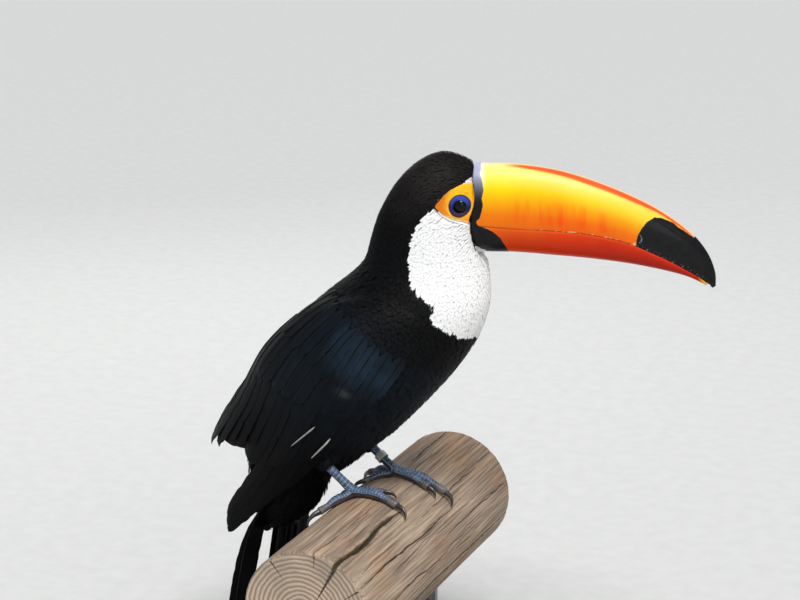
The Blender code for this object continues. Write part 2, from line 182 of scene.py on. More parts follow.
def calc(tree, operation, *values):
    """Arithmetic on values and other nodes' outputs."""
    return node(tree, "ShaderNodeMath", dict(enumerate(values)), operation=operation).outputs[0]


def share_between(tree, value, low, high):
    """0 where the value is low, 1 where it is high."""
    return node(tree, "ShaderNodeMapRange", {"Value": value, "From Min": low, "From Max": high}).outputs[0]


def laid(tree, name="plumage", kind="Color"):
    """The colours laid on a piece's points, or with kind Fac the numbers."""
    return node(tree, "ShaderNodeAttribute", attribute_name=name).outputs[kind]


def toned(tree, tone):
    """The colours laid on a piece's points, multiplied by a tone."""
    return blend(tree, 1.0, laid(tree), tone, "MULTIPLY")


def paint(shader, colour, roughness=None):
    """Links a shader's colour, and its roughness where that varies."""
    shader.id_data.links.new(colour, shader.inputs["Base Color"])
    if roughness is not None:
        shader.id_data.links.new(roughness, shader.inputs["Roughness"])


def bump(tree, shader, height, strength, distance):
    """Fine relief in a material; distance is its full depth in metres."""
    made = node(tree, "ShaderNodeBump", {"Height": height, "Strength": strength, "Distance": distance})
    tree.links.new(made.outputs["Normal"], shader.inputs["Normal"])


floor_mesh = bpy.data.meshes.new("floor")
half = FLOOR_SIZE / 2
corners = [(-half, -half, 0), (half, -half, 0), (half, half, 0), (-half, half, 0)]
floor_mesh.from_pydata(corners, [], [(0, 1, 2, 3)])
floor = add_object("floor", floor_mesh)
paper, tree, shader = new_material("seamless paper", Roughness=0.85)
paint(shader, ramp(tree, mottle(tree, 60.0), (0.3, (0.60, 0.60, 0.585)), (0.7, (0.64, 0.64, 0.625))))
floor_mesh.materials.append(paper)

# ------------------------------------------------------------------------------------------------
# Stand: a flat board with a satin black coating, and two turned steel rods screwed into it and up
# into the rail. A small steel collar hides the joint at each end of each rod.
# ------------------------------------------------------------------------------------------------
MM = 0.001
COLLAR_PROFILE = (
    # radius and height in mm
    (7.2, 0.0), (11.5, 0.0), (11.8, 0.4), (11.8, 2.2), (11.2, 2.9), (9.4, 3.3), (8.4, 4.2),
    (7.6, 5.6), (7.2, 5.8),
)
COLLAR_SIDES, COLLAR_SUNK = 48, 0.0009  # metres that the upper collar stands into the rail


def build_mesh(name, points, faces, material, smooth=True):
    """A piece from an array of points and one of faces, which all have three or four corners."""
    mesh = bpy.data.meshes.new(name)
    points = np.ascontiguousarray(points, np.float32)
    faces = np.ascontiguousarray(faces, np.int32)
    mesh.vertices.add(len(points))
    mesh.vertices.foreach_set("co", points.ravel())
    mesh.loops.add(faces.size)
    mesh.loops.foreach_set("vertex_index", faces.ravel())
    mesh.polygons.add(len(faces))
    mesh.polygons.foreach_set("loop_start", np.arange(0, faces.size, faces.shape[1], dtype=np.int32))
    mesh.update(calc_edges=True)
    mesh.validate()
    if smooth:
        mesh.shade_smooth()
    mesh.materials.append(material)
    return add_object(name, mesh)


def grid_faces(rows, columns, closed=False, first=0):
    """Four-sided faces over a grid of points, row by row; closed joins the last column to the first."""
    steps = columns if closed else columns - 1
    row, column = np.meshgrid(np.arange(rows - 1), np.arange(steps), indexing="ij")
    a = row * columns + column
    b = row * columns + (column + 1) % columns
    return np.stack([a, b, b + columns, a + columns], -1).reshape(-1, 4) + first


def turned(profile, sides, foot, flip=1):
    """Points of a profile of (radius, height) in mm turned about an upright line through foot."""
    angle = np.arange(sides) * math.tau / sides
    rings = [
        np.stack([r * np.cos(angle), r * np.sin(angle), np.full(sides, flip * h)], -1) * MM + foot
        for r, h in profile
    ]
    return np.concatenate(rings)


def finish_solid(name, material):
    """Gives one of the solids its material, in place of the plain one."""
    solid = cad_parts[name].data
    solid.materials.clear()
    solid.materials.append(material)


coating, tree, shader = new_material("stand coating", Roughness=0.42, Coat_Weight=0.15)
wear = mottle(tree, 14.0)
black_coat = ramp(tree, wear, (0.35, (0.016, 0.016, 0.018)), (0.75, (0.030, 0.030, 0.033)))
paint(shader, black_coat, ramp(tree, wear, (0.3, 0.36), (0.8, 0.52)))
bump(tree, shader, mottle(tree, 900.0, 2.0), 0.25, 0.0003)
finish_solid("stand_base", coating)

steel, tree, shader = new_material("turned steel", Metallic=1.0)
turning = mottle(tree, 3.0, stretch=(4, 4, 600))
bright = ramp(tree, turning, (0.3, (0.20, 0.20, 0.21)), (0.7, (0.34, 0.34, 0.35)))
paint(shader, bright, ramp(tree, turning, (0.3, 0.28), (0.7, 0.42)))
bump(tree, shader, turning, 0.1, 0.0001)
for rod in ("stand_rod_left", "stand_rod_right"):
    finish_solid(rod, steel)
    low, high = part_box(rod)
    for end, height, flip in (("foot", low.z, 1), ("head", high.z + COLLAR_SUNK, -1)):
        middle = ((low.x + high.x) / 2, (low.y + high.y) / 2, height)
        points = turned(COLLAR_PROFILE, COLLAR_SIDES, np.array(middle), flip)
        faces = grid_faces(len(COLLAR_PROFILE), COLLAR_SIDES, True)
        collar = build_mesh(f"{rod}_{end}_collar", points, faces[:, ::flip], steel)
        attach(collar, "root")

# ------------------------------------------------------------------------------------------------
# Rail: a sawn length of round softwood rail, grey-brown from weather, with long drying cracks.
# The widest crack holds moss. The cracks are painted dark, more so the deeper they are. The rail's sawn ends
# show the growth rings.
# ------------------------------------------------------------------------------------------------
RAIL_ROUND, RAIL_ALONG, RAIL_END_RINGS = 640, 110, 26
RAIL_CRACKS = (
    # degrees from the top, from y, to y, half width and depth in mm, moss
    (28.5, -0.185, -0.026, 2.3, 5.5, 0.8),
    (7.5, -0.160, -0.036, 0.75, 2.2, 0.3),
    (57.0, -0.150, 0.034, 0.80, 2.4, 0.2),
    (-4.5, 0.052, 0.150, 0.85, 2.4, 0.8),
    (44.0, -0.020, 0.120, 0.60, 1.6, 0.1),
    (74.0, 0.000, 0.150, 0.70, 2.0, 0.1),
    (86.0, -0.150, 0.060, 0.65, 1.8, 0.2),
    (106.0, -0.160, 0.160, 1.30, 4.0, 0.9),
    (-36.0, -0.150, 0.030, 0.90, 2.6, 0.4),
    (-78.0, -0.040, 0.160, 1.10, 3.2, 0.5),
    (-128.0, -0.160, 0.100, 1.30, 4.0, 0.8),
    (160.0, -0.100, 0.160, 1.00, 3.0, 0.6),
)
FINE_CRACKS = 64
RAIL_RELIEF = (
    # mm high, waves round the rail, waves along it, seed
    (0.25, 5, 3, 1), (0.16, 60, 4, 2), (0.10, 200, 9, 3), (0.06, 320, 24, 4),
)
RAIL_LOWERED, RAIL_DEEPEST, END_BEVEL = 0.45, 6.0, 1.6  # mm
CRACK_DARK = (0.022, 0.016, 0.012)

rail_low, rail_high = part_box("perch")
rail_radius = (rail_high.x - rail_low.x) / 2
rail_height = (rail_high.z + rail_low.z) / 2


def ripple(u, v, columns, rows, seed):
    """Smooth random values from -1 to 1; u runs once round in columns steps, v along in rows steps."""
    lattice = np.random.default_rng(seed).uniform(-1, 1, (columns, rows + 2))
    x, y = u * columns, np.clip(v, 0, 1) * rows
    i, j = np.floor(x).astype(int), np.floor(y).astype(int)
    fx, fy = x - i, y - j
    fx, fy = fx * fx * (3 - 2 * fx), fy * fy * (3 - 2 * fy)
    i, k = i % columns, (i + 1) % columns
    near = lattice[i, j] * (1 - fx) + lattice[k, j] * fx
    far = lattice[i, j + 1] * (1 - fx) + lattice[k, j + 1] * fx
    return near * (1 - fy) + far * fy


share = np.arange(RAIL_ROUND) / RAIL_ROUND
along = np.linspace(0, 1, RAIL_ALONG + 1)
A, U = np.meshgrid(along, share, indexing="ij")
Y = rail_low.y + (rail_high.y - rail_low.y) * A
relief = np.full_like(U, -RAIL_LOWERED)
for height, columns, rows, seed in RAIL_RELIEF:
    relief += height * ripple(U, A, columns, rows, seed)
crack_darkening, moss = np.zeros_like(U), np.zeros_like(U)
random = np.random.default_rng(7)
cracks = list(RAIL_CRACKS)
for _ in range(FINE_CRACKS):
    start, length = random.uniform(-0.17, 0.12), random.uniform(0.03, 0.14)
    degrees, half_width = random.uniform(-180, 180), random.uniform(0.38, 0.6)
    cracks.append((degrees, start, start + length, half_width, random.uniform(0.4, 1.1), 0.0))
for number, (degrees, start, end, half_width, depth, mossy) in enumerate(cracks):
    reach = np.clip((Y - start) / (end - start), 0, 1)
    open_share = np.clip(4.0 * np.minimum(reach, 1 - reach), 0, 1) ** 0.6
    wander = (1.2 if mossy > 0.9 else 2.0) * ripple(np.full_like(A, 0.31), A, 3, 7, 100 + number)
    wander = wander + 0.7 * ripple(np.full_like(A, 0.7), A, 3, 30, 200 + number)
    offset = (U * 360 - degrees - wander + 180) % 360 - 180
    distance = np.abs(offset) * math.radians(1) * rail_radius / MM
    opening = half_width * open_share * (0.8 + 0.35 * ripple(U, A, 3, 40, 300 + number)) + 1e-6
    groove = np.clip(1 - distance / opening, 0, 1) ** 0.55
    shoulder = np.exp(-((distance / (opening * 2.6)) ** 2)) * 0.16 * open_share
    relief -= depth * groove * open_share + shoulder
    # Each crack is painted dark, more so the deeper it is.
    crack_darkening = np.maximum(crack_darkening, groove * np.minimum(1.0, 0.45 + 0.3 * depth))
    moss = np.maximum(moss, mossy * np.exp(-((distance / (opening * 1.5 + 0.3)) ** 2)) * open_share)
end_gap = np.minimum(Y - rail_low.y, rail_high.y - Y) / MM
relief -= END_BEVEL * np.clip(1 - end_gap / 1.8, 0, 1) ** 2
radius = rail_radius + np.clip(relief, -RAIL_DEEPEST, 0.0) * MM
angle = U * math.tau
bark = np.stack([radius * np.sin(angle), Y, rail_height + radius * np.cos(angle)], -1).reshape(-1, 3)
faces = [grid_faces(RAIL_ALONG + 1, RAIL_ROUND, True)]
points, crack_darkening_values, moss_values = [bark], [crack_darkening.ravel()], [moss.ravel()]
for end, y, row in ((0, rail_low.y, 0), (1, rail_high.y, RAIL_ALONG)):
    inward = np.linspace(1, 0.012, RAIL_END_RINGS)[:, None]
    edge = radius[row][None, :]
    check = np.zeros((RAIL_END_RINGS, RAIL_ROUND))
    for number, (degrees, start, finish, half_width, depth, mossy) in enumerate(RAIL_CRACKS):
        if start <= y <= finish:
            offset = (share[None, :] * 360 - degrees - 4 * (1 - inward) * math.sin(number) + 180) % 360 - 180
            distance = np.abs(offset) * math.radians(1) * rail_radius * inward / MM
            reach = np.clip((inward - 1 + depth / 8.0) / (depth / 8.0), 0, 1)
            check = np.maximum(check, np.clip(1 - distance / (half_width * reach + 1e-6), 0, 1))
    rings = 0.12 * np.sin(inward * 95 + 0.8 * ripple(share[None, :] + 0 * inward, inward, 6, 3, 40 + end))
    sunk = (rings - 2.2 * check) * MM * (1 if end else -1)
    cap = np.stack([
        edge * inward * np.sin(angle[0])[None, :],
        y + sunk * (inward < 0.999),
        rail_height + edge * inward * np.cos(angle[0])[None, :],
    ], -1).reshape(-1, 3)
    first = sum(len(p) for p in points)
    cap_faces = grid_faces(RAIL_END_RINGS, RAIL_ROUND, True, first)
    faces.append(cap_faces[:, ::-1] if end == 0 else cap_faces)
    points.append(cap)
    crack_darkening_values.append(check.ravel())
    moss_values.append(np.zeros(check.size))
faces = np.concatenate(faces)


def set_value(piece, name, values):
    """A number for each point of a mesh, which its material reads."""
    layer = piece.data.attributes.new(name, "FLOAT", "POINT")
    layer.data.foreach_set("value", np.ascontiguousarray(values, np.float32).ravel())


weathered, tree, shader = new_material("weathered wood", Roughness=0.8)
fibre = mottle(tree, 6.0, 6.0, (90, 3.0, 90))
grey = ramp(
    tree, fibre, (0.30, (0.172, 0.120, 0.085)), (0.50, (0.336, 0.244, 0.171)), (0.70, (0.491, 0.376, 0.270)),
)
warm = ramp(
    tree, fibre, (0.30, (0.202, 0.116, 0.065)), (0.55, (0.395, 0.240, 0.137)), (0.75, (0.538, 0.360, 0.220)),
)
patch = mottle(tree, 26.0, 3.0, (1, 0.45, 1))
colour = blend(tree, ramp(tree, patch, (0.50, 0.0), (0.68, 1.0)), grey, warm)
streak = mottle(tree, 6.0, 4.0, (14, 1.2, 14))
colour = blend(tree, ramp(tree, streak, (0.36, 0.38), (0.50, 0.0)), colour, (0.150, 0.115, 0.090))
# The cracks are painted dark, more so the deeper they are.
colour = blend(tree, laid(tree, "crack_darkening", "Fac"), colour, CRACK_DARK)
tufts = ramp(tree, mottle(tree, 420.0, 3.0, (1, 0.6, 1)), (0.42, 0.0), (0.55, 1.0))
colour = blend(tree, calc(tree, "MULTIPLY", laid(tree, "moss", "Fac"), tufts), colour, (0.050, 0.048, 0.020))
paint(shader, colour, ramp(tree, fibre, (0.3, 0.9), (0.7, 0.66)))
bump(tree, shader, fibre, 0.55, 0.0006)

end_grain, tree, shader = new_material("sawn end grain", Roughness=0.85)
pith = {"Vector": object_coordinates(tree), "Location": (0.004, 0, -rail_height - 0.003), "Scale": (1, 0, 1)}
centred = node(tree, "ShaderNodeMapping", pith).outputs[0]
growth = {"Vector": centred, "Scale": 95.0, "Distortion": 2.5, "Detail": 3.0, "Detail Scale": 1.2}
rings = node(tree, "ShaderNodeTexWave", growth, wave_type="RINGS", rings_direction="Y").outputs["Fac"]
colour = ramp(tree, rings, (0.0, (0.27, 0.19, 0.13)), (0.55, (0.46, 0.35, 0.25)), (1.0, (0.56, 0.45, 0.34)))
colour = blend(tree, ramp(tree, mottle(tree, 34.0), (0.4, 0.0), (0.7, 0.5)), colour, (0.17, 0.14, 0.12))
# The checks in the sawn ends are painted dark too.
paint(shader, blend(tree, laid(tree, "crack_darkening", "Fac"), colour, CRACK_DARK))
bump(tree, shader, rings, 0.4, 0.0004)

rail = build_mesh("rail", np.concatenate(points), faces, weathered)
rail.data.materials.append(end_grain)
on_end = np.arange(len(faces)) >= RAIL_ALONG * RAIL_ROUND
rail.data.polygons.foreach_set("material_index", on_end.astype(np.int32))
set_value(rail, "crack_darkening", np.concatenate(crack_darkening_values))
set_value(rail, "moss", np.concatenate(moss_values))
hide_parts("perch")
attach(rail, "root")

# ------------------------------------------------------------------------------------------------
# Skin: the solids of the flesh joined into one form, then sunk by the depth of the coat.
# It carries the plumage's markings, so that nothing pale shows between the feathers.
# ------------------------------------------------------------------------------------------------
FLESH = ("head", "neck", "trunk", "thigh_left", "thigh_right", "wing_left", "wing_right", "tail")
JOIN_SWELL, JOIN_GRAIN, JOIN_SMOOTH = 0.0008, 0.0020, 10
TAIL_FLESH_END, WING_FLESH_END = 0.138, 0.138
NECK_PIVOT = 0.020
HEAD_TURN = math.radians(16.0)
MIDLINE = (
    # x and z in mm, and turn in degrees, from the root of the bill to under the wing tips
    (66, 396, 16), (54, 393, 16), (44, 384, 14.5), (38, 371, 12), (34, 357, 9.5), (29, 342, 5),
    (15, 321, 2), (2, 304, 1), (-12, 285, 0.5), (-26, 265.5, 0), (-39, 245.5, 0), (-51.5, 224, 0),
    (-63, 205.5, 0), (-74.5, 187, 0), (-87, 169, 0), (-101, 149, 0), (-113, 128, 0),
)
COAT_DEPTH = (
    # metres along the midline, metres of feathers over the skin
    (0.000, 0.0008), (0.030, 0.0010), (0.065, 0.0014), (0.105, 0.0042), (0.230, 0.0045), (0.300, 0.0025),
)
THIGH_DEPTH = 0.0016
EYE_PLACE = (0.0568, 0.4006)  # forward and up, in the head's own plane
FACE_EDGE = (
    # degrees round the eye from straight ahead, and mm to the edge of the bare skin
    (-180, 17.6), (-160, 13.8), (-136, 11.0), (-107, 9.8), (-82, 10.4), (-64, 13.2), (-50, 13.2),
    (-35, 12.0), (0, 10.2), (40, 13.2), (58, 16.8), (67, 16.6), (77, 15.6), (95, 13.6), (106, 13.0),
    (134, 12.9), (152, 13.8), (162, 14.8), (172, 16.6), (180, 17.6),
)
BIB_EDGE = (
    # metres along the midline, and degrees from the back where the white begins
    (0.000, 96), (0.0048, 96), (0.009, 93), (0.0125, 82), (0.0165, 68), (0.0196, 62), (0.026, 61.5),
    (0.035, 62), (0.0415, 65.5), (0.0495, 72.5), (0.058, 81), (0.0648, 91), (0.0678, 104), (0.0704, 118.5),
    (0.0720, 134), (0.0730, 150), (0.0733, 180),
)
BAND_REAR = (
    # height, then mm forward to the rear edge of the bill's black band
    (368, 67.4), (371, 66.4), (374.1, 65.4), (380.1, 64.4), (386.3, 63.6), (390.4, 63.2), (395.1, 64.8),
    (399.4, 66.0), (404, 66.6), (409, 66.4), (414.4, 65.6), (419, 65.4), (423.7, 65.8), (428, 66.2),
)
BIB_END, PAST_BIB = 0.0733, -20.0  # metres along the midline, and degrees that stand for well outside it
CORNER_REACH, CORNER_TURN, CORNER_TAPER = 20.9, 66, 0.46  # mm, degrees round the eye, mm lost by degree
SIDE_OF_HEAD, GAPE = 0.006, (0.368, 0.400)  # metres from the head's own plane, and heights in metres
RUMP, VENT = (0.246, 0.268, 30), (0.228, 0.262, 125, 160)  # metres along the midline, degrees from the back
BLACK, CROWN, WHITE = (0.0026, 0.0027, 0.0031), (0.0170, 0.0138, 0.0134), (0.93, 0.93, 0.915)
# The blue sheen is a painted reflection of the sky on the black wing feathers.
PAINTED_SKY_SHEEN, RED_VENT, ORANGE_SKIN = (0.011, 0.022, 0.036), (0.42, 0.020, 0.012), (0.86, 0.36, 0.01)
WORN_SPOT = (0.085, 0.090, 0.095)

midline = np.array([
    (NECK_PIVOT + (x * MM - NECK_PIVOT) * math.cos(math.radians(turn)),
     (x * MM - NECK_PIVOT) * math.sin(math.radians(turn)), z * MM)
    for x, z, turn in MIDLINE
])
midline_steps = np.diff(midline, axis=0)
midline_reach = np.concatenate([[0], np.cumsum(np.linalg.norm(midline_steps, axis=1))])
midline_heading = np.gradient(midline, midline_reach, axis=0)
midline_turn = np.radians([turn for x, z, turn in MIDLINE])


def look_up(table, places):
    """Values between a table's rows of (place, value)."""
    return np.interp(places, *zip(*table))


def between(ends, share):
    return ends[0] + (ends[1] - ends[0]) * share


def lay_over(colours, tint, share):
    """Draws colours towards a tint, by a share for each."""
    return colours + (np.array(tint) - colours) * share[..., None]


def unit(vectors):
    return vectors / np.maximum(np.linalg.norm(vectors, axis=-1, keepdims=True), 1e-12)


def midline_frame(s):
    """At metres along the midline: its point, and the directions along it, to the left and to the back."""
    point = np.stack([np.interp(s, midline_reach, midline[:, k]) for k in range(3)], -1)
    along = unit(np.stack([np.interp(s, midline_reach, midline_heading[:, k]) for k in range(3)], -1))
    turn = np.interp(s, midline_reach, midline_turn)
    left = np.stack([-np.sin(turn), np.cos(turn), np.zeros_like(turn)], -1)
    left = unit(left - along * np.sum(left * along, -1, keepdims=True))
    return point, along, left, np.cross(left, along)


def chart(points):
    """Metres along the midline from the bill, and degrees round it from the back, plus to the left."""
    nearest, s = np.full(len(points), np.inf), np.zeros(len(points))
    for start, step, reach in zip(midline, midline_steps, midline_reach):
        share = np.clip((points - start) @ step / (step @ step), 0, 1)
        gap = np.linalg.norm(points - start - share[:, None] * step, axis=1)
        s = np.where(gap < nearest, reach + share * np.linalg.norm(step), s)
        nearest = np.minimum(gap, nearest)
    point, along, left, back = midline_frame(s)
    spoke = points - point
    return s, np.degrees(np.arctan2(np.sum(spoke * left, -1), np.sum(spoke * back, -1)))


def head_plane(points):
    """Forward, to the left and up, in the head's own turned plane."""
    x, y = points[:, 0] - NECK_PIVOT, points[:, 1]
    forward = NECK_PIVOT + x * math.cos(HEAD_TURN) + y * math.sin(HEAD_TURN)
    return forward, y * math.cos(HEAD_TURN) - x * math.sin(HEAD_TURN), points[:, 2]


def from_head_plane(forward, lateral, up):
    """Points of the model, from places in the head's own turned plane."""
    x = NECK_PIVOT + (forward - NECK_PIVOT) * math.cos(HEAD_TURN) - lateral * math.sin(HEAD_TURN)
    y = (forward - NECK_PIVOT) * math.sin(HEAD_TURN) + lateral * math.cos(HEAD_TURN)
    return np.stack(np.broadcast_arrays(x, y, up), -1)


def inside_face(points):
    """Metres inside the edge of the bare skin round each eye; outside it is negative."""
    forward, lateral, up = head_plane(points)
    ahead, rise = forward - EYE_PLACE[0], up - EYE_PLACE[1]
    edge = look_up(FACE_EDGE, np.degrees(np.arctan2(rise, ahead))) * MM
    depth = edge - np.hypot(ahead, rise)
    return np.where(np.abs(lateral) > SIDE_OF_HEAD, depth, -1.0)


def inside_corner(points):
    """Metres inside the small white triangle between the cap, the bare skin and the bill."""
    forward, lateral, up = head_plane(points)
    ahead, rise = forward - EYE_PLACE[0], up - EYE_PLACE[1]
    reach = CORNER_REACH - CORNER_TAPER * np.abs(np.degrees(np.arctan2(rise, ahead)) - CORNER_TURN)
    return np.where(np.abs(lateral) > SIDE_OF_HEAD, reach * MM - np.hypot(ahead, rise), -1.0)


def by_gape(points):
    """Which points lie under the rear of the black band, at the corner of the mouth."""
    forward, lateral, up = head_plane(points)
    return (forward > look_up(BAND_REAR, up / MM) * MM) & (up > GAPE[0]) & (up < GAPE[1])


def soft_step(value, low, high):
    """0 up to low and 1 from high on, with a smooth rise between them."""
    t = np.clip((value - low) / (high - low), 0, 1)
    return t * t * (3 - 2 * t)


def inside_bib(s, degrees):
    """Degrees inside the edge of the white bib; outside it is negative."""
    return np.where(s < BIB_END, np.abs(degrees) - look_up(BIB_EDGE, s), PAST_BIB)


def painted_sheen_and_worn_spot(colour, s, degrees):
    """Black plumage with a painted blue sheen, which is the sky's reflection laid into the colour. It is
    strongest at the bend of the wing and weaker over the rest of it. One worn pale spot lies behind it.
    """
    round_body = np.abs(degrees)
    # Painted sheen: the sky's blue reflection, strongest at the bend of the wing and weaker over the rest.
    sheen = np.exp(-(((s - 0.127 - 0.0002 * (round_body - 100)) / 0.020) ** 2))
    sheen = sheen * soft_step(round_body, 62, 84) * soft_step(-round_body, -138, -124)
    weak_painted_sheen = 0.22 * soft_step(s, 0.090, 0.110) * soft_step(-s, -0.240, -0.16) * soft_step(round_body, 30, 60)
    spot = 0.4 * np.exp(-(((s - 0.154) / 0.0035) ** 2) - ((degrees + 103) / 5.0) ** 2)
    return lay_over(lay_over(colour, PAINTED_SKY_SHEEN, np.maximum(sheen, weak_painted_sheen)), WORN_SPOT, spot)


def plumage(points):
    """The coat's colour at points on the bird, with the painted blue sheen on the wings."""
    s, degrees = chart(points)
    round_body = np.abs(degrees)
    colour = painted_sheen_and_worn_spot(np.tile(np.array(BLACK), (len(points), 1)), s, degrees)
    on_body = np.linalg.norm(points - midline_frame(s)[0], axis=1) < 0.050
    on_rump = on_body & (s > RUMP[0]) & (s < RUMP[1]) & (round_body < RUMP[2])
    on_vent = (s > VENT[0]) & (s < VENT[1]) & (degrees > VENT[2]) & (degrees < VENT[3])
    for tint, share in (
        (CROWN, soft_step(-s, -0.040, -0.012) * soft_step(-round_body, -75, -30)),
        (WHITE, on_rump & (np.abs(points[:, 1]) < 0.010)),
        (RED_VENT, on_vent & (points[:, 1] > 0.008)),
        (WHITE, inside_bib(s, degrees) > 0),
        (WHITE, inside_corner(points) > 0),
        (ORANGE_SKIN, inside_face(points) > 0),
        (BLACK, by_gape(points)),
    ):
        colour = lay_over(colour, tint, np.clip(share, 0, 1))
    return colour


def smooth_points(points, edges, times, keep):
    """Draws each point towards the mean of its neighbours."""
    count = np.bincount(edges.ravel(), minlength=len(points))[:, None]
    for _ in range(times):
        total = np.zeros_like(points)
        for k in range(3):
            total[:, k] = np.bincount(edges[:, 0], points[edges[:, 1], k], len(points))
            total[:, k] += np.bincount(edges[:, 1], points[edges[:, 0], k], len(points))
        points = points * keep + total / np.maximum(count, 1) * (1 - keep)
    return points


def read_points(mesh, what="vertices", field="co"):
    """A mesh's points, or its normals, as rows of three numbers."""
    values = np.empty(len(getattr(mesh, what)) * 3, np.float32)
    getattr(mesh, what).foreach_get(field, values)
    return values.reshape(-1, 3).astype(float)


def cut_below(shape, height):
    """Cuts a closed shape off level and closes it again."""
    whole = shape.verts[:] + shape.edges[:] + shape.faces[:]
    bmesh.ops.bisect_plane(shape, geom=whole, plane_co=(0, 0, height), plane_no=(0, 0, -1), clear_outer=True)
    bmesh.ops.holes_fill(shape, edges=[e for e in shape.edges if e.is_boundary], sides=0)


def evaluated(rough):
    """The mesh that an object's modifiers make of it. The object itself is thrown away."""
    bpy.context.view_layer.update()
    made = bpy.data.meshes.new_from_object(rough.evaluated_get(bpy.context.evaluated_depsgraph_get()))
    bpy.data.objects.remove(rough, do_unlink=True)
    return made


def fused(rough, grain, smoothing):
    """Overlapping closed shapes melted into one."""
    join = rough.modifiers.new("join", "REMESH")
    join.mode, join.voxel_size = "VOXEL", grain
    soften = rough.modifiers.new("soften", "SMOOTH")
    soften.iterations, soften.factor = smoothing, 0.5
    return evaluated(rough)


def search_tree(points, *meshes):
    """A tree that finds the nearest place on meshes, whose points are given one mesh after the other."""
    faces, first = [], 0
    for mesh in meshes:
        faces += [tuple(first + corner for corner in face.vertices) for face in mesh.polygons]
        first += len(mesh.vertices)
    return BVHTree.FromPolygons([Vector(point) for point in points], faces)


def joined_form():
    """The flesh solids as one closed mesh, without their cuts. The tail is kept down to its fleshy root."""
    shell = bmesh.new()
    for name in FLESH:
        part = bmesh.new()
        part.from_mesh(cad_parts[name].data)
        bmesh.ops.remove_doubles(part, verts=part.verts, dist=1e-5)
        if name == "tail":
            cut_below(part, TAIL_FLESH_END)
        part.normal_update()
        for corner in part.verts:
            corner.co += corner.normal * JOIN_SWELL
        piece = bpy.data.meshes.new("part")
        part.to_mesh(piece)
        part.free()
        shell.from_mesh(piece)
    mesh = bpy.data.meshes.new("form")
    shell.to_mesh(mesh)
    shell.free()
    made = fused(add_object("form", mesh), JOIN_GRAIN, JOIN_SMOOTH)
    outer = bmesh.new()
    outer.from_mesh(made)
    islands, seen = [], set()
    for first in outer.verts:
        if first.index in seen:
            continue
        island, edge_of = [], [first]
        seen.add(first.index)
        while edge_of:
            here = edge_of.pop()
            island.append(here)
            for edge in here.link_edges:
                there = edge.other_vert(here)
                if there.index not in seen:
                    seen.add(there.index)
                    edge_of.append(there)
        islands.append(island)
    islands.sort(key=len)
    inner = [corner for island in islands[:-1] for corner in island]
    bmesh.ops.delete(outer, geom=inner, context="VERTS")
    outer.to_mesh(made)
    outer.free()
    return made


form_mesh = joined_form()
form_points = read_points(form_mesh) - read_points(form_mesh, "vertex_normals", "vector") * JOIN_SWELL
form_mesh.vertices.foreach_set("co", form_points.astype(np.float32).ravel())
form_mesh.update()
form_normals = read_points(form_mesh, "vertex_normals", "vector")
form_tree = search_tree(form_points, form_mesh)
thigh_boxes = [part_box("thigh_left"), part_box("thigh_right")]


def near_thigh(points, margin=0.003):
    """Which points lie by one of the thighs."""
    inside = np.zeros(len(points), bool)
    for low, high in thigh_boxes:
        inside |= np.all((points > np.array(low) - margin) & (points < np.array(high) + margin * 0.3), axis=1)
    return inside


def coat_depth(points):
    """Metres of feathers over the skin."""
    s, degrees = chart(points)
    return np.where(near_thigh(points), THIGH_DEPTH, look_up(COAT_DEPTH, s))


skin_shape = bmesh.new()
skin_shape.from_mesh(form_mesh)
skin_shape.verts.ensure_lookup_table()
sunk = form_points - form_normals * coat_depth(form_points)[:, None]
edges = np.array([edge.vertices[:] for edge in form_mesh.edges])
sunk = smooth_points(sunk, edges, 8, 0.5)
for corner, place in zip(skin_shape.verts, sunk):
    corner.co = place
cut_below(skin_shape, WING_FLESH_END)
skin_mesh = bpy.data.meshes.new("skin")
skin_shape.to_mesh(skin_mesh)
skin_shape.free()
skin_mesh.shade_smooth()


def set_colours(piece, colours):
    """The plumage colour of each point, for the piece's material."""
    layer = piece.data.color_attributes.new("plumage", "FLOAT_COLOR", "POINT")
    rgba = np.ones((len(colours), 4), np.float32)
    rgba[:, :3] = colours
    layer.data.foreach_set("color", rgba.ravel())


skin_finish, tree, shader = new_material("skin under the coat", Roughness=0.7, Specular_IOR_Level=0.06)
pores = mottle(tree, 700.0)
paint(shader, toned(tree, ramp(tree, pores, (0.3, 0.55), (0.7, 0.9))))
bump(tree, shader, pores, 0.4, 0.0003)
skin = add_object("skin", skin_mesh)
skin_mesh.materials.append(skin_finish)
set_colours(skin, plumage(read_points(skin_mesh)))
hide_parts(*FLESH)
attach(skin, "root")

# ------------------------------------------------------------------------------------------------
# Coat: small body feathers that overlap each other from the bill back to the tail, each a thin
# curved vane with loose barbs at its edge. They are smallest at the face.
# ------------------------------------------------------------------------------------------------
STATIONS = 5
VANE_ROWS = (0.0, 0.28, 0.52, 0.74, 0.90)
SHANK_HEADING = (0.77, 0.0, -0.64)
COAT = (
    # name, seed, mm apart, mm long and mm wide at the start and end of its range, range along the
    # midline in metres, barbs, lift of the tip in mm, where it grows
    ("coat_cap", 11, 1.35, (3.2, 7.5), (1.5, 3.0), (0.0, 0.055), 16, 0.15, "cap"),
    ("coat_corners", 18, 0.75, (2.2, 2.4), (1.0, 1.1), (0.0, 0.03), 8, 0.10, "corner"),
    ("coat_bib", 12, 1.35, (4.0, 8.0), (1.6, 3.0), (0.0, 0.070), 22, 0.05, "bib"),
    ("coat_neck", 13, 2.1, (8.0, 13.0), (3.4, 6.4), (0.050, 0.105), 18, 0.25, "neck"),
    ("coat_breast", 14, 2.9, (13.0, 17.0), (7.0, 9.0), (0.105, 0.200), 18, 0.35, "front"),
    ("coat_back", 15, 3.0, (13.0, 19.0), (7.0, 9.5), (0.105, 0.240), 16, 0.3, "back"),
    ("coat_vent", 16, 2.6, (15.0, 18.0), (6.5, 7.5), (0.200, 0.295), 20, 2.5, "vent"),
    ("coat_thighs", 17, 1.6, (5.5, 7.0), (2.4, 2.6), (0.200, 0.250), 12, 0.5, "thigh"),
)


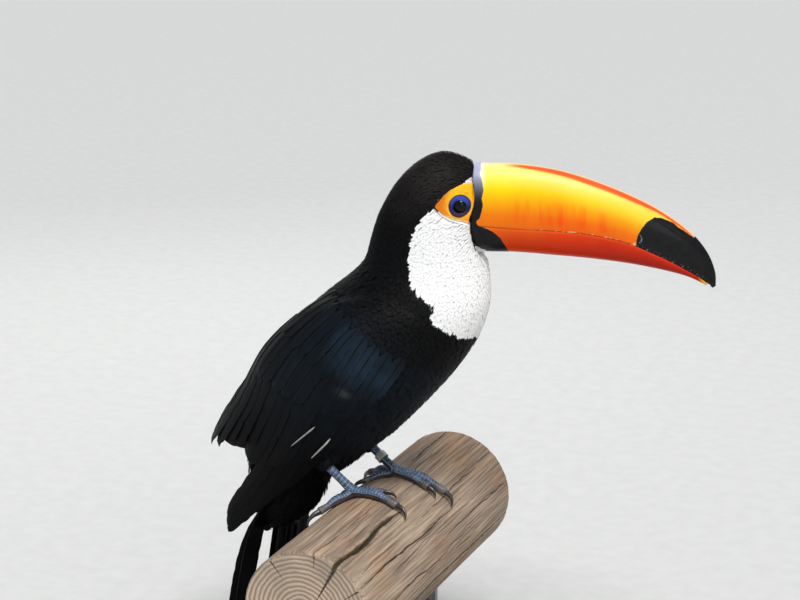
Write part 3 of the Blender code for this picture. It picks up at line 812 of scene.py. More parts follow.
def scatter(mesh, apart, seed):
    """Points spread evenly over a mesh, no nearer to each other than apart."""
    tree = bpy.data.node_groups.new("scatter", "GeometryNodeTree")
    tree.interface.new_socket("Geometry", in_out="INPUT", socket_type="NodeSocketGeometry")
    tree.interface.new_socket("Geometry", in_out="OUTPUT", socket_type="NodeSocketGeometry")
    source, result = tree.nodes.new("NodeGroupInput"), tree.nodes.new("NodeGroupOutput")
    spread = tree.nodes.new("GeometryNodeDistributePointsOnFaces")
    spread.distribute_method = "POISSON"
    spread.inputs["Distance Min"].default_value = apart
    spread.inputs["Density Max"].default_value = 2.4 / apart**2
    spread.inputs["Seed"].default_value = seed
    as_vertices = tree.nodes.new("GeometryNodePointsToVertices")
    tree.links.new(source.outputs[0], spread.inputs["Mesh"])
    tree.links.new(spread.outputs["Points"], as_vertices.inputs[0])
    tree.links.new(as_vertices.outputs[0], result.inputs[0])
    ground = add_object("ground", mesh)
    ground.modifiers.new("scatter", "NODES").node_group = tree
    made = evaluated(ground)
    bpy.data.node_groups.remove(tree)
    return read_points(made)


def feather_shape(seed, barbs, vane_share=0.8, barb_reach=0.26, barb_width=0.055):
    """One small feather laid flat: places along it (0 to 1) and across (in half widths), shades, faces. The
    shades darken the vane towards its root, which is painted shade where the feathers before it lie over it.
    They also give each barb a random tone.
    """
    random = np.random.default_rng(seed)

    def edge(t):
        if t < 0.52:
            return vane_share * (0.40 + 0.60 * t / 0.52)
        return vane_share * math.sqrt(max(0.0, 1 - ((t - 0.52) / 0.49) ** 2))

    spots, faces = [], []
    for t in VANE_ROWS:
        # Painted shade: the vane is darker towards its root, which the feathers before it cover.
        pale = 0.80 + 0.15 * t
        spots += [(t, -edge(t), pale), (t, 0.0, 0.85 + 0.15 * t), (t, edge(t), pale)]
    spots.append((1.0, 0.0, 1.0))
    for row in range(len(VANE_ROWS) - 1):
        for column in (0, 1):
            a, b = row * 3 + column, row * 3 + column + 1
            faces += [(a, b, b + 3), (a, b + 3, a + 3)]
    last = 3 * len(VANE_ROWS)
    faces += [(last - 3, last - 2, last), (last - 2, last - 1, last)]
    for k in range(barbs):
        t = 0.32 + 0.62 * (k + random.uniform(-0.4, 0.4)) / barbs
        side = 1 if k % 2 else -1
        root = edge(t) * random.uniform(0.55, 0.95) * side
        reach = barb_reach * random.uniform(0.75, 1.2)
        lean = math.radians(random.uniform(14, 34))
        end = t + reach * math.cos(lean), root + side * reach * math.sin(lean) * 2.2
        tip = *end, random.uniform(0.95, 1.25)
        tone = random.uniform(0.85, 1.15)
        a = len(spots)
        spots += [(t - barb_width / 2, root, tone), (t + barb_width / 2, root * 0.9, tone), tip]
        faces.append((a, a + 1, a + 2) if side > 0 else (a + 1, a, a + 2))
    spots = np.array(spots)
    return spots[:, 0], spots[:, 1], spots[:, 2], np.array(faces)


def surface_spines(roots, headings, lengths, ground):
    """Steps along the ground from each root. Returns the spines' points and the ground's normals there."""
    points = np.zeros((len(roots), STATIONS, 3))
    normals = np.zeros_like(points)
    for i in range(len(roots)):
        here, heading = Vector(roots[i]), Vector(headings[i])
        step = lengths[i] / (STATIONS - 1)
        place, normal, face, gap = ground.find_nearest(here)
        for k in range(STATIONS):
            points[i, k], normals[i, k] = place, normal
            heading = (heading - normal * heading.dot(normal)).normalized()
            place, normal, face, gap = ground.find_nearest(place + heading * step)
    normals[:, 1:-1] = unit(normals[:, :-2] + 2 * normals[:, 1:-1] + normals[:, 2:])
    return points, normals


def bake_map(piece, places, roots, first_scale=0.0014):
    """The map that colours are baked on: each feather is a patch at its root's place on the unrolled skin."""
    s, degrees = chart(roots)
    u = 0.02 + 0.96 * (degrees / 360 + 0.5)
    v = 0.02 + 0.96 * np.clip(s / midline_reach[-1], 0, 1)
    spread = np.stack([places[..., 1] * first_scale, (places[..., 0] - 0.5) * 2 * first_scale], -1)
    per_point = (np.stack([u, v], -1)[:, None, :] + spread).reshape(-1, 2)
    loops = np.empty(len(piece.data.loops), np.int32)
    piece.data.loops.foreach_get("vertex_index", loops)
    layer = piece.data.uv_layers.new(name="OFBake")
    layer.data.foreach_set("uv", per_point[loops].astype(np.float32).ravel())


def lay_feathers(
    name, roots, headings, lengths, widths, colours, shape, depths, lifts, cup, material, ground=form_tree,
):
    """Joins feathers of one shape into a piece. Roots lie on the form and are sunk to the skin."""
    points, normals = surface_spines(roots, headings, lengths, ground)
    t_station = np.linspace(0, 1, STATIONS)
    sink = depths[:, None] * (1 - t_station) ** 1.4
    points += normals * (lifts[:, None] * t_station - sink)[..., None]
    tangent = unit(np.gradient(points, axis=1))
    side = unit(np.cross(normals, tangent))
    t, across, shade, faces = shape
    weights = np.stack([np.interp(t, t_station, row) for row in np.eye(STATIONS)], -1)
    beyond = np.clip(t - 1, 0, None)[None, :, None] * lengths[:, None, None]
    made = np.einsum("pk,nkc->npc", weights, points) + tangent[:, -1][:, None] * beyond
    made += np.einsum("pk,nkc->npc", weights, side) * (across[None, :] * widths[:, None] / 2)[..., None]
    cupped = cup * across[None, :] ** 2 * widths[:, None]
    made -= np.einsum("pk,nkc->npc", weights, normals) * cupped[..., None]
    count = len(roots)
    all_faces = (faces[None] + (np.arange(count) * len(t))[:, None, None]).reshape(-1, 3)
    piece = build_mesh(name, made.reshape(-1, 3), all_faces, material)
    tone = shade[None, :, None] * colours[:, None, :]
    set_colours(piece, np.clip(tone, 0, 0.95).reshape(-1, 3))
    places = np.broadcast_to(np.stack([t, across], -1)[None], (count, len(t), 2))
    bake_map(piece, places, roots)
    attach(piece, "root")
    return piece


def feather_material(name, roughness, sheen, tint, darkest, palest, glow):
    """Feathers: colour from the coat's own markings, a soft sheen, fine streaks of barbs.

    The glow is the share of light that spreads inside them, which is none in black ones.
    """
    made, tree, shader = new_material(
        name, Roughness=roughness, Specular_IOR_Level=0.08,
        Sheen_Weight=sheen, Sheen_Roughness=0.45, Sheen_Tint=(*tint, 1.0),
        Subsurface_Weight=glow, Subsurface_Scale=0.0010, Subsurface_Radius=(1.0, 1.0, 1.0),
    )
    streaks = mottle(tree, 900.0, 2.0)
    paint(shader, toned(tree, ramp(tree, streaks, (0.3, darkest), (0.7, palest))))
    return made


black_feather = feather_material("black body feather", 0.55, 0.006, (0.55, 0.70, 1.0), 0.82, 1.12, 0.0)
white_feather = feather_material("white bib feather", 0.70, 0.10, (1.0, 0.98, 0.95), 1.00, 1.07, 0.18)
wing_solids = []
for name in ("wing_left", "wing_right"):
    wing_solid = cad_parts[name].data
    wing_solids.append(search_tree([corner.co for corner in wing_solid.vertices], wing_solid))


def on_wing(points, within=0.0022):
    """Which points lie on a folded wing's solid."""
    near = [[tree.find_nearest(Vector(p), within)[0] is not None for tree in wing_solids] for p in points]
    return np.any(near, axis=1)


def grows(where, points, s, degrees):
    """Which points lie in a tract of the coat."""
    bare = inside_face(points) > -0.0002
    bib = inside_bib(s, degrees) > -1.0
    thigh = near_thigh(points)
    body = ~bare & ~thigh & ~by_gape(points)
    corner = inside_corner(points) > -0.0002
    if where == "corner":
        return body & corner
    if where == "cap":
        return body & ~bib & ~corner & (s < 0.058)
    if where == "bib":
        return body & bib
    if where == "neck":
        return body & ~bib & (s >= 0.052) & (s < 0.110)
    if where == "thigh":
        return thigh
    if where == "vent":
        return body & (s > 0.205) & (points[:, 2] > 0.144)
    front = np.abs(degrees) > 90
    trunk = body & (s >= 0.105) & (s < (0.225 if where == "front" else 0.245))
    return trunk & (front if where == "front" else ~front)


for name, seed, apart, length, width, reach, barbs, lift, where in COAT:
    roots = scatter(form_mesh, apart * MM, seed)
    s, degrees = chart(roots)
    kept = grows(where, roots, s, degrees)
    if where in ("front", "back", "neck", "vent"):
        kept[kept] = ~on_wing(roots[kept])
    if where in ("back", "vent"):
        kept &= ~((s > 0.205) & (np.abs(degrees) < 75) & (np.abs(roots[:, 1]) > 0.017))
    roots, s, degrees = roots[kept], s[kept], degrees[kept]
    random = np.random.default_rng(seed)
    share = np.clip((s - reach[0]) / (reach[1] - reach[0]), 0, 1)
    lengths = between(length, share) * random.uniform(0.85, 1.15, len(roots)) * MM
    widths = between(width, share) * random.uniform(0.85, 1.15, len(roots)) * MM
    point, along, left, back = midline_frame(s)
    astray = random.normal(0, 0.05 if where == "bib" else 0.10, roots.shape)
    headings = (np.array(SHANK_HEADING) if where == "thigh" else along) + astray
    if where == "vent":
        lengths *= np.clip((roots[:, 2] - 0.140) / 0.030, 0.45, 1.0)
    even, cup = (0.025, 0.015) if where in ("bib", "corner") else (0.18, 0.10)
    colours = plumage(roots) * random.uniform(1 - even, 1 + even, (len(roots), 1))
    shape = feather_shape(seed, barbs)
    lifts = random.uniform(0.2, 1.0, len(roots)) * lift * MM
    finish = white_feather if where in ("bib", "corner") else black_feather
    depths = coat_depth(roots)
    lay_feathers(name, roots, headings, lengths, widths, colours, shape, depths, lifts, cup, finish)

# ------------------------------------------------------------------------------------------------
# Wings: folded flat to the flanks. Small coverts scale the shoulder; below them lie the longer
# coverts, then the tertials and secondaries, and from under these come the primaries.
# ------------------------------------------------------------------------------------------------
WING_REACH = 0.14  # from the midline to well outside the wings
SMALL_COVERTS = (2.9, (8.0, 13.0), (5.5, 8.0), (0.085, 0.180))  # mm apart, mm long, mm wide, range
COVERT_DEPTH = 0.0022  # metres that their roots are sunk
LONG_ROWS, LONG_COLUMNS = 22, 7
BARB_SPACING = 0.0011
VANE_BLACK, SHAFT_BLACK = (0.0031, 0.0032, 0.0038), (0.0065, 0.0060, 0.0060)
WORN_VANE, WORN_SHAFT = (0.36, 0.34, 0.31), (0.50, 0.47, 0.43)
WORN_WIDTH, WORN_HEIGHT = 1.1, 5.4  # mm
WING_TRACTS = (
    # name, feathers, first root and tip, last root and tip (mm along the midline, degrees from the
    # back), width in mm first and last, height over the form in mm first and last, tip, bow
    ("primaries", 8, (206, 86), (322, 75), (186, 122), (252, 108), (12, 10), (0.3, -0.2), 0.42, 6),
    ("upper_primaries", 2, (202, 80), (311, 66), (204, 83), (317, 70), (12, 12), (0.5, 0.4), 0.42, 3),
    ("secondaries", 9, (166, 58), (258, 60), (150, 116), (222, 112), (17, 13), (0.9, 0.5), 0.14, 4),
    ("tertials", 5, (150, 14), (275, 18), (164, 52), (245, 51), (25, 20), (1.9, 1.2), 0.12, 2),
    ("greater_coverts", 9, (132, 38), (196, 36), (128, 118), (176, 121), (15, 11), (2.5, 1.7), 0.16, 1),
    ("median_coverts", 10, (112, 32), (160, 30), (108, 120), (146, 124), (13, 10), (3.0, 2.2), 0.20, 0),
)
WORN_SHAFTS = (
    # root and tip of two pale shafts on the right wing: mm along the midline, degrees from the back
    ((193, 99), (219, 90)), ((197, 115), (220, 110)),
)


def wing_surface(s, degrees):
    """Distance from the midline to the outside of the folded wing, or nothing past its edge."""
    point, along, left, back = midline_frame(s)
    angle = np.radians(degrees)[..., None]
    spoke = back * np.cos(angle) + left * np.sin(angle)
    reach = np.full(s.shape, np.nan)
    for place in np.ndindex(s.shape):
        start = Vector(point[place] + spoke[place] * WING_REACH)
        hit, normal, face, gap = form_tree.ray_cast(start, Vector(-spoke[place]), WING_REACH)
        if hit is not None:
            reach[place] = WING_REACH - gap
    return point, spoke, reach


def outline(t, tip):
    """Half width of a long feather along its shaft, as a share; tip is how much of it tapers."""
    base = np.clip(0.35 + t / 0.18, 0, 1)
    end = np.sqrt(np.clip(1 - (np.clip(t - (1 - tip), 0, None) / tip) ** 2, 0.0006, 1))
    return base * end


def ragged_half(half, across, random, depth, power):
    """How far each point of a vane lies from its shaft, with both edges a little worn."""
    ragged = 1 - depth * random.random((len(half), 2)) ** power
    grid = half[:, None] * across[None, :]
    grid[:, 0] *= ragged[:, 0]
    grid[:, -1] *= ragged[:, 1]
    return grid


def feather_parts(t, across, vane, barbs, shaft, closed):
    """One long feather for join_long: its vane's grid of points and its shaft's, and what lies on them."""
    rows, columns, sides = len(t), len(across), shaft.shape[1]
    lanes = across, np.zeros(sides)
    places = [np.stack(np.broadcast_arrays(t[:, None], lane[None, :]), -1).reshape(-1, 2) for lane in lanes]
    shaft_faces = grid_faces(rows - 1, sides, closed, rows * columns)
    return {
        "points": np.concatenate([vane.reshape(-1, 3), shaft.reshape(-1, 3)]),
        "faces": np.concatenate([grid_faces(rows, columns), shaft_faces]),
        "barbs": np.concatenate([barbs.ravel(), np.zeros(rows * sides)]),
        "shaft": np.repeat((0.0, 1.0), (rows * columns, rows * sides)),
        "places": np.concatenate(places),
        "root": vane[0, columns // 2],
    }


def long_feather(side, root, tip, width, height, taper, bow, random):
    """A flight feather or long covert: its vane follows the form, with a shaft along its middle."""
    t, across = np.linspace(0, 1, LONG_ROWS), np.linspace(-1, 1, LONG_COLUMNS)
    t = 1 - (1 - t) ** 1.35
    s = (root[0] + (tip[0] - root[0]) * t) * MM
    degrees = root[1] + (tip[1] - root[1]) * t + bow * np.sin(math.pi * t)
    half_grid = ragged_half(width / 2 * outline(t, taper) * MM, across, random, 0.16, 5)
    point, spoke, reach = wing_surface(s, side * degrees)
    reach = np.where(np.isnan(reach), np.nanmax(reach), reach)
    grid_degrees = degrees[:, None] - np.degrees(half_grid / reach[:, None])
    grid_s = np.repeat(s[:, None], LONG_COLUMNS, 1)
    point, spoke, reach = wing_surface(grid_s, side * grid_degrees)
    reach = np.where(np.isnan(reach), 0.0, reach)
    for row in range(1, LONG_ROWS):
        drop = 0.16 * (s[row] - s[row - 1])
        reach[row] = np.maximum(reach[row], reach[row - 1] - drop)
    middle = LONG_COLUMNS // 2
    for column in range(middle + 1, LONG_COLUMNS):
        mirrored = LONG_COLUMNS - 1 - column
        for here, inner in ((column, column - 1), (mirrored, mirrored + 1)):
            drop = 0.22 * np.abs(half_grid[:, here] - half_grid[:, inner])
            reach[:, here] = np.clip(reach[:, here], reach[:, inner] - drop, reach[:, inner] + drop)
    for _ in range(3):
        reach[1:-1] = (reach[:-2] + 2 * reach[1:-1] + reach[2:]) / 4
    lift = height * MM + 0.0004 * (1 - across[None, :] ** 2) - 0.00035 * across[None, :]
    sunk = -0.0016 * np.clip(1 - t / 0.25, 0, 1)[:, None]
    vane = point + spoke * (reach + lift + sunk)[..., None]
    ahead = unit(np.gradient(vane[:, middle], axis=0))
    outward, sideways = spoke[:, middle], unit(np.cross(spoke[:, middle], ahead))
    thick = (0.55 * (1 - t) + 0.16)[:, None] * MM * min(1.0, width / 14)
    line = vane[:, middle]
    shaft = np.stack([line + sideways * thick, line + outward * thick, line - sideways * thick], 1)
    barbs = (t[:, None] * (tip[0] - root[0]) * MM + np.abs(half_grid) * 1.1) / BARB_SPACING
    return feather_parts(t, across, vane, barbs, shaft, False)


def join_long(name, feathers, tone, shaft_tone, material, edge_tone=1.3):
    """Joins long feathers into one piece. Each is a shade off its neighbours, paler at its worn edge."""
    points = np.concatenate([f["points"] for f in feathers])
    first = np.cumsum([0] + [len(f["points"]) for f in feathers[:-1]])
    faces = np.concatenate([f["faces"] + start for f, start in zip(feathers, first)])
    piece = build_mesh(name, points, faces, material)
    colours = []
    for number, feather in enumerate(feathers):
        t, across = feather["places"].T
        edge = 1 + (edge_tone - 1) * np.clip((np.abs(across) - 0.6) / 0.4, 0, 1) * np.clip(t * 2, 0, 1)
        shaded = np.repeat(np.array(tone)[None, :], len(t), 0)
        # The wing pieces get the painted blue sheen, a reflection of the sky laid into their colour.
        if name.endswith(("left", "right")):
            shaded = painted_sheen_and_worn_spot(shaded, *chart(feather["points"]))
        vane = shaded * (edge * (0.9 + 0.2 * ((number * 7) % 5) / 4))[:, None]
        colours.append(np.where(feather["shaft"][:, None] > 0, np.array(shaft_tone)[None, :], vane))
    set_colours(piece, np.concatenate(colours))
    set_value(piece, "barbs", np.concatenate([f["barbs"] for f in feathers]))
    places = np.stack([f["places"] for f in feathers])
    bake_map(piece, places, np.stack([f["root"] for f in feathers]))
    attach(piece, "root")
    return piece


long_vane, tree, shader = new_material("black flight feather", Roughness=0.45, Specular_IOR_Level=0.06)
barb = calc(tree, "SINE", calc(tree, "MULTIPLY", laid(tree, "barbs", "Fac"), math.tau))
wear = mottle(tree, 90.0)
tone = ramp(tree, wear, (0.35, 0.85), (0.75, 1.25))
paint(shader, toned(tree, tone), ramp(tree, wear, (0.3, 0.36), (0.7, 0.5)))
bump(tree, shader, barb, 0.35, 0.00012)

apart, length, width, reach = SMALL_COVERTS
covert_roots = scatter(form_mesh, apart * MM, 21)
s, degrees = chart(covert_roots)
kept = (s > 0.070) & (s < 0.215) & (inside_face(covert_roots) < 0)
kept[kept] = on_wing(covert_roots[kept])
covert_roots, s, degrees = covert_roots[kept], s[kept], degrees[kept]
for name, side in (("left", 1), ("right", -1)):
    here = np.sign(degrees) == side
    roots, s_here = covert_roots[here], s[here]
    random = np.random.default_rng(22 + side)
    share = np.clip((s_here - reach[0]) / (reach[1] - reach[0]), 0, 1)
    lengths = between(length, share) * random.uniform(0.9, 1.15, len(roots)) * MM
    widths = between(width, share) * random.uniform(0.9, 1.1, len(roots)) * MM
    point, along, left, back = midline_frame(s_here)
    headings = along + random.normal(0, 0.06, roots.shape) + 0.10 * back
    colours = plumage(roots) * random.uniform(0.85, 1.15, (len(roots), 1))
    lifts = random.uniform(0.1, 0.5, len(roots)) * MM
    lay_feathers(
        f"coat_coverts_{name}", roots, headings, lengths, widths, colours, feather_shape(23, 14, 0.9, 0.18),
        np.full(len(roots), COVERT_DEPTH), lifts, 0.08, black_feather,
    )
    for tract, count, root_a, tip_a, root_b, tip_b, wide, height, taper, bow in WING_TRACTS:
        random = np.random.default_rng(len(tract) + count)
        feathers = []
        for k in range(count):
            share = k / (count - 1)
            root = [a + (b - a) * share + random.uniform(-1, 1) for a, b in zip(root_a, root_b)]
            tip = [a + (b - a) * share + random.uniform(-1.5, 1.5) for a, b in zip(tip_a, tip_b)]
            size = between(wide, share), between(height, share)
            feathers.append(long_feather(side, root, tip, *size, taper, bow * (1 - share), random))
        join_long(f"{tract}_{name}", feathers, VANE_BLACK, SHAFT_BLACK, long_vane)

random = np.random.default_rng(29)
worn = [long_feather(-1, root, tip, WORN_WIDTH, WORN_HEIGHT, 0.6, 0.0, random) for root, tip in WORN_SHAFTS]
join_long("worn_shafts", worn, WORN_VANE, WORN_SHAFT, long_vane, 1.0)

# ------------------------------------------------------------------------------------------------
# Tail: ten long square feathers fanned from the rump, in two bunches with a gap between them.
# Seen from below their shafts are paler than their vanes.
# ------------------------------------------------------------------------------------------------
TAIL_LINE = (
    # height, then x and y of the fan's middle in mm, and its turn in degrees
    (178.6, -80, 0, 0), (162, -88, 1, 2), (146, -94, 2, 8), (130, -98, 6.5, 14), (115, -101.5, 8, 16),
    (94, -105.5, 8, 16), (72, -109, 8, 16), (53, -112, 8, 16),
)
TAIL_ROOT_HEIGHT = 172.0
TAIL_FEATHERS = (
    # mm across from the fan's middle at the root and at the tip, mm forward, height of the tip in mm
    (-8, -18.0, -3.0, 54.0), (-14, -22.0, -1.8, 54.5), (-19, -26.0, -0.6, 55.5), (-24, -30.0, 0.9, 57.0),
    (-29, -34.0, 2.2, 59.0), (2, 13.5, -0.6, 54.2), (6, 18.5, 0.8, 55.0), (10, 24.0, 2.0, 56.0),
    (14, 30.0, 3.2, 57.4), (18, 36.0, 4.2, 59.4),
)
TAIL_FEATHER_WIDTH, TAIL_FEATHER_LENGTH = 16.5, 0.115  # mm, and metres for the count of its barbs
TAIL_ROWS, TAIL_COLUMNS = 30, 7
TAIL_FACING = math.radians(-14)
TAIL_BLACK, TAIL_SHAFT = (0.0034, 0.0034, 0.0040), (0.030, 0.028, 0.027)

tail_heights = np.array([row[0] for row in TAIL_LINE])[::-1]
tail_rows = np.array([row[1:] for row in TAIL_LINE], float)[::-1]


def tail_place(across, forward, height):
    """A point of the fan, in metres, from mm across its middle, forward of it, and up."""
    x, y, turn = (np.interp(height, tail_heights, tail_rows[:, k]) for k in range(3))
    sine, cosine = np.sin(np.radians(-turn)), np.cos(np.radians(-turn))
    x, y = x - across * sine + forward * cosine, y + across * cosine + forward * sine
    return np.stack([x, y, height + 0 * across], -1) * MM


feathers = []
random = np.random.default_rng(31)
facing = np.array([math.cos(TAIL_FACING), math.sin(TAIL_FACING), 0.0])
sideways = np.array([-facing[1], facing[0], 0.0])
for root, tip, forward, foot in TAIL_FEATHERS:
    t, across = 1 - (1 - np.linspace(0, 1, TAIL_ROWS)) ** 1.4, np.linspace(-1, 1, TAIL_COLUMNS)
    height = TAIL_ROOT_HEIGHT + (foot - TAIL_ROOT_HEIGHT) * t
    spread = root + (tip - root) * t ** (0.15 if abs(tip) > 20 else 0.62)
    half = TAIL_FEATHER_WIDTH / 2 * outline(t, 0.085) * (0.62 + 0.38 * np.clip(t * 1.5, 0, 1))
    half_grid = ragged_half(half, across, random, 0.10, 6)
    camber = 0.5 * (1 - across[None, :] ** 2) * np.clip(1.2 - t, 0, 1)[:, None]
    level = height[:, None] + 0 * half_grid
    vane = tail_place(spread[:, None] + half_grid, forward - camber + 0 * half_grid, level)
    line, thick = vane[:, TAIL_COLUMNS // 2], (0.85 - 0.62 * t)[:, None] * MM
    left, right = line + sideways * thick * 0.6, line - sideways * thick * 0.6
    shaft = [left, line + facing * thick, right, line - facing * thick * 0.7]
    barbs = (t[:, None] * TAIL_FEATHER_LENGTH + np.abs(half_grid) * MM * 1.2) / BARB_SPACING
    feathers.append(feather_parts(t, across, vane, barbs, np.stack(shaft, 1), True))
join_long("tail_feathers", feathers, TAIL_BLACK, TAIL_SHAFT, long_vane, 1.5)

# ------------------------------------------------------------------------------------------------
# Eyes and face: a dark glossy ball in each socket, a blue ring of folded skin round it, and the bare
# orange skin that runs from the ring to the bill and in under the first feathers.
# ------------------------------------------------------------------------------------------------
EYE_SETTING, EYE_RADIUS = 19.6, 7.0  # mm
EYE_OPENING, EYE_RING = 4.5, 7.7  # mm from the middle of the eye
FACE_AROUND, RING_STEPS, FACE_STEPS = 168, 34, 34
RIM_SPACING = 0.40  # mm between the tiny feathers along the edge of the bare skin
OPENING_BACK, OPENING_DOWN = -0.20, 0.20  # mm from the middle of the ring to that of the opening
SKIN_TOP, SKIN_MIDDLE, SKIN_REAR = (0.95, 0.50, 0.003), (0.90, 0.31, 0.001), (0.62, 0.150, 0.002)
SKIN_FADE, SKIN_RIM = (0.85, 0.62, 0.36), (0.92, 0.50, 0.05)
RING_TOP, RING_SIDE = (0.018, 0.050, 0.38), (0.005, 0.010, 0.105)
# The ring's edge colour is a painted shade for the creases at its inner and outer edges.
RING_FOOT, RING_CREASE_SHADE = (0.030, 0.025, 0.062), (0.003, 0.003, 0.010)
PUPIL_BLACK, IRIS_BLACK = (0.0012, 0.0012, 0.0014), (0.005, 0.003, 0.003)
PUPIL_EDGE = 2.35, 2.55  # mm from the middle of the pupil
SIGHT_LINE = 60  # mm out to the side, where the search for the form's surface starts
EYE_X, EYE_Z = EYE_PLACE[0] / MM, EYE_PLACE[1] / MM


def form_lateral(side, forward, up):
    """How far the form reaches sideways from the head's plane, in mm, at places in that plane."""
    start = from_head_plane(forward * MM, side * SIGHT_LINE * MM, up * MM)
    toward = from_head_plane(NECK_PIVOT, -side * 1.0, 0.0) - from_head_plane(NECK_PIVOT, 0.0, 0.0)
    toward = Vector(toward).normalized()
    lateral = np.full(forward.shape, np.nan)
    for place in np.ndindex(forward.shape):
        hit, normal, face, gap = form_tree.ray_cast(Vector(start[place]), toward, SIGHT_LINE * MM)
        if hit is not None:
            lateral[place] = SIGHT_LINE - gap / MM
    return lateral


def smooth_lateral(side, forward, up, radius):
    """The same with the eye's socket bridged over by a curved patch."""
    lateral = form_lateral(side, forward, up)
    x, z = forward - EYE_X, up - EYE_Z
    terms = np.stack([np.ones_like(x), x, z, x * x, x * z, z * z], -1)
    known = np.isfinite(lateral) & (radius > 9.0) & (radius < 13.5)
    fit, *_ = np.linalg.lstsq(terms[known], lateral[known], rcond=None)
    bridged = terms @ fit
    share = np.where(np.isfinite(lateral), soft_step(radius, 8.8, 11.0), 0.0)
    return bridged + (np.nan_to_num(lateral) - bridged) * share, fit


face_skin, tree, shader = new_material(
    "bare skin of the face", Specular_IOR_Level=0.25, Subsurface_Weight=0.12, Subsurface_Scale=0.0015,
    Subsurface_Radius=(1.0, 0.35, 0.12),
)
pores = {"Vector": object_coordinates(tree), "Scale": 1500.0}
wrinkles = node(tree, "ShaderNodeTexVoronoi", pores, feature="DISTANCE_TO_EDGE").outputs["Distance"]
grain = mottle(tree, 420.0)
tone = ramp(tree, grain, (0.3, 0.84), (0.7, 1.06))
paint(shader, toned(tree, tone), ramp(tree, grain, (0.3, 0.36), (0.7, 0.52)))
bump(tree, shader, calc(tree, "MINIMUM", wrinkles, 0.12), 0.55, 0.0006)

eye_finish, tree, shader = new_material(
    "eye", Roughness=0.06, Specular_IOR_Level=0.10, Coat_Weight=0.22, Coat_Roughness=0.02,
)
fibres = ramp(tree, mottle(tree, 1600.0, 2.0), (0.3, (0.002, 0.001, 0.001)), (0.7, (0.014, 0.008, 0.006)))
out = calc(tree, "MULTIPLY", laid(tree, "from_pupil", "Fac"), 1 / MM)
in_iris, iris = share_between(tree, out, *PUPIL_EDGE), blend(tree, 0.6, IRIS_BLACK, fibres)
paint(shader, blend(tree, in_iris, PUPIL_BLACK, iris))

